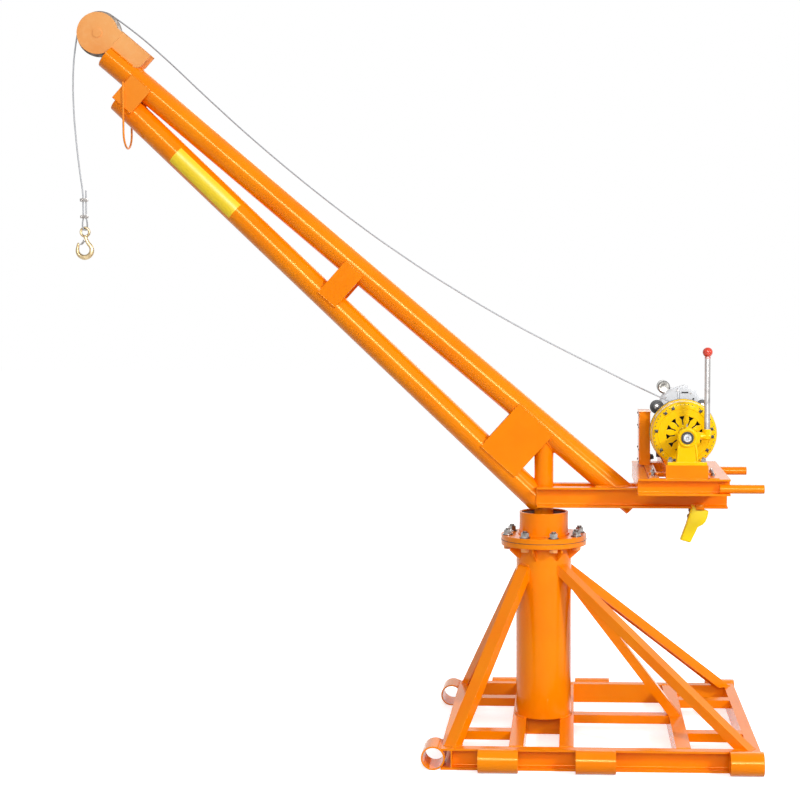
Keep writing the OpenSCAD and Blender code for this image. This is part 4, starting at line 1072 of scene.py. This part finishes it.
# %% Lugs and bolts on the rails
lug_y, end_slot_y, rail_xs = 192, 256, (421, 646)
bm = bmesh.new()
for y in (-lug_y, lug_y):
    box(bm, mm(406, y - 17, 1068), mm(467, y + 17, 1073))
    box(bm, mm(623, y - 17, 1068), mm(661, y + 17, 1073))
end_piece(bm, "rail_lugs", orange_enamel, "boom", bevel=1.2 * MM)

bm = bmesh.new()
for y in (-lug_y, lug_y):
    for x in rail_xs:
        nut_set(bm, mm(x, y, 1073), Z_UP, 10 * MM, 0.6)
for y in (-end_slot_y, end_slot_y):
    for x in rail_xs:
        nut_set(bm, mm(x, y, 1068), Z_UP, 10 * MM, 0.5)
        head_set(bm, mm(x, y, deck_top), -Z_UP, 10 * MM)
end_piece(bm, "rail_bolts", zinc_plate, "boom")

# %% [markdown]
# ## Pendant
# The hand control hangs under the near beam. Its yellow ABS shell has a wide upper body, rounded
# on one side, and a narrower grip. The outline is a flat face of a few points, extruded to its
# thickness, and its edges are rounded with a wide bevel. A raised seam runs round it where the
# halves meet. Two tan buttons stand in rubber collars on its edge, and a bent orange clip holds it
# to the beam.

# %% Pendant outline, in millimetres, and where it hangs
pendant_frame = Matrix.Translation(mm(612, -72.7, 920)) @ Matrix.Rotation(math.radians(13), 4, "Y")
outline = [(-34, 6), (36, -4), (36, -28), (33, -46), (25, -60), (13, -70), (9, -74), (-5, -140),
           (-46, -138), (-38, -72), (-36, -40)]
half_shell, half_seam, seam_swell = 22, 0.8, 1.012
button_heights = (-16, -40)


def slab(bm, points, half, swell=1.0):
    """A flat outline in x and z, extruded to both sides and swelled about its middle."""
    total = Vector((sum(x for x, z in points), sum(z for x, z in points)))
    middle_x, middle_z = total / len(points)
    verts = [bm.verts.new(mm(middle_x + (x - middle_x) * swell, -half,
                             middle_z + (z - middle_z) * swell)) for x, z in points]
    grown = bmesh.ops.extrude_face_region(bm, geom=[bm.faces.new(verts)])["geom"]
    moved = [v for v in grown if isinstance(v, bmesh.types.BMVert)]
    bmesh.ops.translate(bm, verts=moved, vec=mm(0, 2 * half, 0))


# %% Pendant shell and seam
bm = bmesh.new()
slab(bm, outline, half_shell)
bmesh.ops.recalc_face_normals(bm, faces=bm.faces)
long_edges = [e for e in bm.edges if e.calc_face_angle(0) > math.radians(40)]
bmesh.ops.bevel(bm, geom=long_edges, offset=6 * MM, affect="EDGES", segments=4, profile=0.5,
                material=-1)
bmesh.ops.transform(bm, matrix=pendant_frame, verts=bm.verts)
end_piece(bm, "pendant_shell", pendant_abs, "boom", ["pendant"], smooth=50)

bm = bmesh.new()
slab(bm, outline, half_seam, seam_swell)
bmesh.ops.transform(bm, matrix=pendant_frame, verts=bm.verts)
end_piece(bm, "pendant_seam", pendant_abs, "boom")

# %% Collars, buttons and clip
for name, start, end, radius, finish in (("pendant_collars", -34, -38.5, 9, black_rubber),
                                         ("pendant_buttons", -37, -41.5, 6, button_plastic)):
    bm = bmesh.new()
    for z in button_heights:
        rod(bm, pendant_frame @ mm(start, 0, z), pendant_frame @ mm(end, 0, z), radius * MM,
            sides=28, end_radius=(radius - 1) * MM)
    end_piece(bm, name, finish, "boom")

bm = bmesh.new()
box(bm, mm(596, -98.5, 914), mm(628, -95.5, 935))
box(bm, mm(596, -98.5, 914), mm(628, -52, 917))
end_piece(bm, "pendant_clip", orange_enamel, "boom", bevel=0.8 * MM)

# %% [markdown]
# ## Hook
# The hook is a drop forging: an eye, a neck and a bowl that is thickest at its bottom and thins to
# a rounded tip. One bar swept along the hook's line, with its own thickness at each point, gives
# the bowl. A turned ring gives the eye. A voxel remesh joins them into one skin, and a smooth
# modifier rounds the joint as a forging die leaves it.

# %% The hook's line: x and z in millimetres, and its share of the bar's radius
eye_at = mm(-1830, 0, 2003.3)
bowl_x, bowl_z, bowl_r = -1833, 1932, 29
spine = [(-1830, 1990, 1.05), (-1828.5, 1982, 0.88), (-1824.5, 1972, 0.84), (-1820, 1963, 0.92)]
for angle in range(50, -191, -8):
    turn = math.radians(angle)
    if angle > -90:
        thick = 0.96 + 0.22 * math.sin(math.radians((50 - angle) * 90 / 140))
    else:
        thick = 1.18 - 0.42 * ((-90 - angle) / 100) ** 1.3
    spine.append((bowl_x + bowl_r * math.cos(turn), bowl_z + bowl_r * math.sin(turn), thick))
spine += [(-1860.6, 1942, 0.7), (-1859.6, 1948, 0.66), (-1858.6, 1954, 0.6), (-1858, 1958.5, 0.46),
          (-1857.8, 1961.5, 0.24)]
print("points along the hook:", len(spine))

# %% Forged hook
hook_line = [(x * MM, 0, z * MM, share) for x, z, share in spine]
forging = swept("forged_hook", [hook_line], 8.8 * MM, forged_gold, sides=8)
bm = bmesh.new()
bm.from_mesh(forging.data)
angles = [math.radians(a) for a in range(0, 360, 20)]
turned(bm, [(5.4 * math.sin(a), 17 + 5.2 * math.cos(a)) for a in angles], eye_at, steps=64)
bmesh.ops.recalc_face_normals(bm, faces=bm.faces)
bm.to_mesh(forging.data)
bm.free()
skin = forging.modifiers.new("one_skin", "REMESH")
skin.mode = "VOXEL"
skin.voxel_size = 0.8 * MM
skin.use_smooth_shade = True
soften = forging.modifiers.new("forged_blend", "SMOOTH")
soften.factor = 0.5
soften.iterations = 6
place_piece(forging, "hook", ["hook"])

# %% [markdown]
# ## Safety latch
# A pressed steel latch closes the hook's mouth, so the load can't slip out. It is a thin tongue
# with two side cheeks that turn on a pin, and a small coil spring presses it shut. The tongue is
# built flat from boxes and then turned to its place, and the spring is a helix of thin wire.

# %% Latch, pin and spring
latch_at = mm(-1833.79, 0, 1969.03)
latch_frame = Matrix.Translation(latch_at) @ Matrix.Rotation(math.radians(130), 4, "Y")
bm = bmesh.new()
box(bm, mm(-2, -6.5, -2.6), mm(24.5, 6.5, -1.4))
for side in (-1, 1):
    box(bm, mm(-3, side * 6 - 0.6, -2.4), mm(20, side * 6 + 0.6, 3.2))
    rod(bm, mm(0, side * 5.3, 0), mm(0, side * 6.7, 0), 4.6 * MM, sides=24)
bmesh.ops.transform(bm, matrix=latch_frame, verts=bm.verts)
end_piece(bm, "latch_plate", zinc_plate, "latch", ["hook_latch"], bevel=0.3 * MM)

bm = bmesh.new()
rod(bm, mm(0, -8, 0), mm(0, 8, 0), 2.6 * MM, sides=20)
bmesh.ops.transform(bm, matrix=latch_frame, verts=bm.verts)
end_piece(bm, "latch_pin", spring_steel, "latch")

coils, per_coil, coil_r, half_spring = 6, 14, 3.6, 4.4
coil = []
for k in range(coils * per_coil):
    turn = math.tau * k / per_coil
    along = -half_spring + 2 * half_spring * k / (coils * per_coil)
    coil.append(latch_frame @ mm(coil_r * math.cos(turn), along, coil_r * math.sin(turn)))
coil += [latch_frame @ mm(9, half_spring, 2.2), latch_frame @ mm(13, half_spring, 0)]
spring = swept("latch_spring", [coil], 0.6 * MM, spring_steel, sides=1)
place_piece(spring, "latch")

# %% [markdown]
# ## Rope clips
# Two wire rope clips clamp the rope's free end. Each is a U-bolt round both strands, with a forged
# saddle and two nuts. The U is a swept bar and the saddle a bevelled block.

# %% Clips
clip_x, clip_heights, half_bow = -1830, (2064, 2130), 11
bm = bmesh.new()
for z in clip_heights:
    box(bm, mm(clip_x - 16, -9.5, z - 6), mm(clip_x + 16, -2.2, z + 6))
    for side in (-1, 1):
        strand_x = clip_x + side * 6
        rod(bm, mm(strand_x, -2.5, z - 7.5), mm(strand_x, -2.5, z + 7.5), 4.2 * MM, sides=20)
        hexagon(bm, mm(clip_x + side * half_bow, -9.5, z), (0, -1, 0), 8.5 * MM, 4.6 * MM)
clip_parts = [end_piece(bm, "clip_saddles", zinc_plate, "boom", ["rope_clips"],
                        bevel=0.6 * MM)]

bows = []
for z in clip_heights:
    bow = [mm(clip_x - half_bow, y, z) for y in (-15.5, -5, 2)]
    for k in range(1, 12):
        turn = math.pi * k / 12
        bow.append(mm(clip_x - half_bow * math.cos(turn), 2 + 7.5 * math.sin(turn), z))
    bows.append(bow + [mm(clip_x + half_bow, y, z) for y in (2, -5, -15.5)])
clip_bows = swept("clip_bows", bows, 2.5 * MM, zinc_plate, sides=3)
clip_parts.append(place_piece(clip_bows, "boom", ["rope_clips"]))

# %% [markdown]
# ## Paint on the ready-made solids
# The channels, pipes and plates already have their true shape. A weld modifier joins their loose
# triangles, a small bevel breaks each edge as deburring and thick paint do, and smooth shading
# with weighted normals keeps flat faces flat and pipes round. A solid takes the finish of its
# slot, apart from the few that are bleached, faded or bare castings.

# %% Finish of each slot
FINISH = {"orange_paint": orange_enamel, "yellow_paint": yellow_enamel, "black_paint": black_enamel,
          "motor_paint": motor_enamel, "zinc_steel": zinc_plate, "wire_rope": rope_wire,
          "zinc_gold": forged_gold, "red_plastic": knob_phenolic, "yellow_plastic": pendant_abs}
OWN_FINISH = {"head_plates": bleached_enamel, "sheave_pin": bleached_enamel,
              "tip_plates": faded_enamel, "sheave": cast_iron, "rope_hoop": faded_enamel}
slot_of = {s["node"]: s["material_slot"] for s in frame["record"]["subparts"]}
EDGE_WIDTH = 1.0 * MM
print("slots with a finish:", len(FINISH))


# %% Dress the solids
def dress(solid, material):
    solid.data.materials.clear()
    solid.data.materials.append(material)
    for face in solid.data.polygons:
        face.use_smooth = True
    weld = solid.modifiers.new("join_triangles", "WELD")
    weld.merge_threshold = 1e-5
    edge = solid.modifiers.new("broken_edge", "BEVEL")
    edge.width = EDGE_WIDTH
    edge.segments = 2
    edge.limit_method = "ANGLE"
    edge.angle_limit = math.radians(35)
    flat = solid.modifiers.new("flat_faces", "WEIGHTED_NORMAL")
    flat.weight = 100
    flat.keep_sharp = True


for name, solid in frame["nodes"].items():
    if not solid.hide_render:
        dress(solid, OWN_FINISH.get(name, FINISH[slot_of[name]]))
print("dressed:", sum(1 for s in frame["nodes"].values() if s.modifiers))

# %% [markdown]
# ## Studio
# The crane stands on a white floor in an even white world. Both show plain white to the camera and
# in reflections, but light the crane more weakly, so its colours come out as they are written.


# %% Floor
def seen_or_mirrored(tree_owner):
    """1 for rays from the camera and for reflections, 0 for the light that falls on the crane."""
    rays = node(tree_owner, "ShaderNodeLightPath").outputs
    return node(tree_owner, "ShaderNodeMath", {0: rays["Is Camera Ray"], 1: rays["Is Glossy Ray"]},
                operation="MAXIMUM").outputs[0]


white, half_floor = start_material("white_sweep"), 30
paper = node(white, "ShaderNodeBsdfDiffuse", {"Color": linear("#FFFFFF")})
grey = node(white, "ShaderNodeBsdfDiffuse", {"Color": linear("#A8A8A8")})
glow = node(white, "ShaderNodeEmission", {"Color": linear("#FFFFFF"), "Strength": 0.6})
lit = node(white, "ShaderNodeAddShader", {0: paper.outputs[0], 1: glow.outputs[0]})
blend = node(white, "ShaderNodeMixShader",
             {0: seen_or_mirrored(white), 1: grey.outputs[0], 2: lit.outputs[0]})
node(white, "ShaderNodeOutputMaterial", {"Surface": blend.outputs[0]})

bm = bmesh.new()
bmesh.ops.create_grid(bm, x_segments=1, y_segments=1, size=half_floor)
mesh = bpy.data.meshes.new("floor")
bm.to_mesh(mesh)
bm.free()
mesh.materials.append(white)
add_object("floor", mesh)
print("floor:", 2 * half_floor, "m across")

# %% World
world = bpy.data.worlds.new("studio")
bpy.context.scene.world = world
world.use_nodes = True
world.node_tree.nodes.clear()
even = node(world, "ShaderNodeBackground", {"Color": linear("#FFFFFF"), "Strength": 0.42})
bright = node(world, "ShaderNodeBackground", {"Color": linear("#FFFFFF"), "Strength": 1.0})
sky = node(world, "ShaderNodeMixShader",
           {0: seen_or_mirrored(world), 1: even.outputs[0], 2: bright.outputs[0]})
node(world, "ShaderNodeOutputWorld", {"Surface": sky.outputs[0]})
print("world:", world.name)

# %% [markdown]
# ## Lamps
# The key stands at the front right and above. A wide soft lamp above the camera fills the side
# that is seen, a weak one stands at the left, and one behind lights the back edges. A long strip
# lamp is seen only in glossy reflections. It lies along the boom and draws the pale line along its
# round tubes, as a strip light does in a workshop.


# %% Lamp helper
def lamp(name, place, target, width, height, power, along=(1, 0, 0), only_glossy=False):
    light = bpy.data.lights.new(name, "AREA")
    light.shape = "RECTANGLE"
    light.size = width
    light.size_y = height
    light.energy = power
    holder = add_object(name, light)
    back = (Vector(place) - Vector(target)).normalized()
    side = (Vector(along) - back * back.dot(Vector(along))).normalized()
    turn = Matrix((side, back.cross(side), back)).transposed().to_4x4()
    holder.matrix_world = Matrix.Translation(place) @ turn
    holder.visible_diffuse = not only_glossy


# %% The five lamps
lamp("key", (5.2, -4.8, 4.4), (-0.2, 0, 1.2), 1.0, 1.0, 340)
lamp("strip", (0.15, -7.0, 3.8), (-0.9, 0, 1.9), 5.8, 0.8, 460, (-0.72, 0, 0.69),
     only_glossy=True)
lamp("front", (0.5, -7.5, 3.6), (-0.3, 0, 1.6), 4.0, 2.0, 200)
lamp("fill", (-5.5, -4.5, 2.5), (0.0, 0, 1.0), 3.0, 3.0, 10)
lamp("back", (0.5, 5.5, 4.0), (-0.3, 0, 1.4), 5.0, 3.0, 90)
print("lamps:", len(bpy.data.lights))
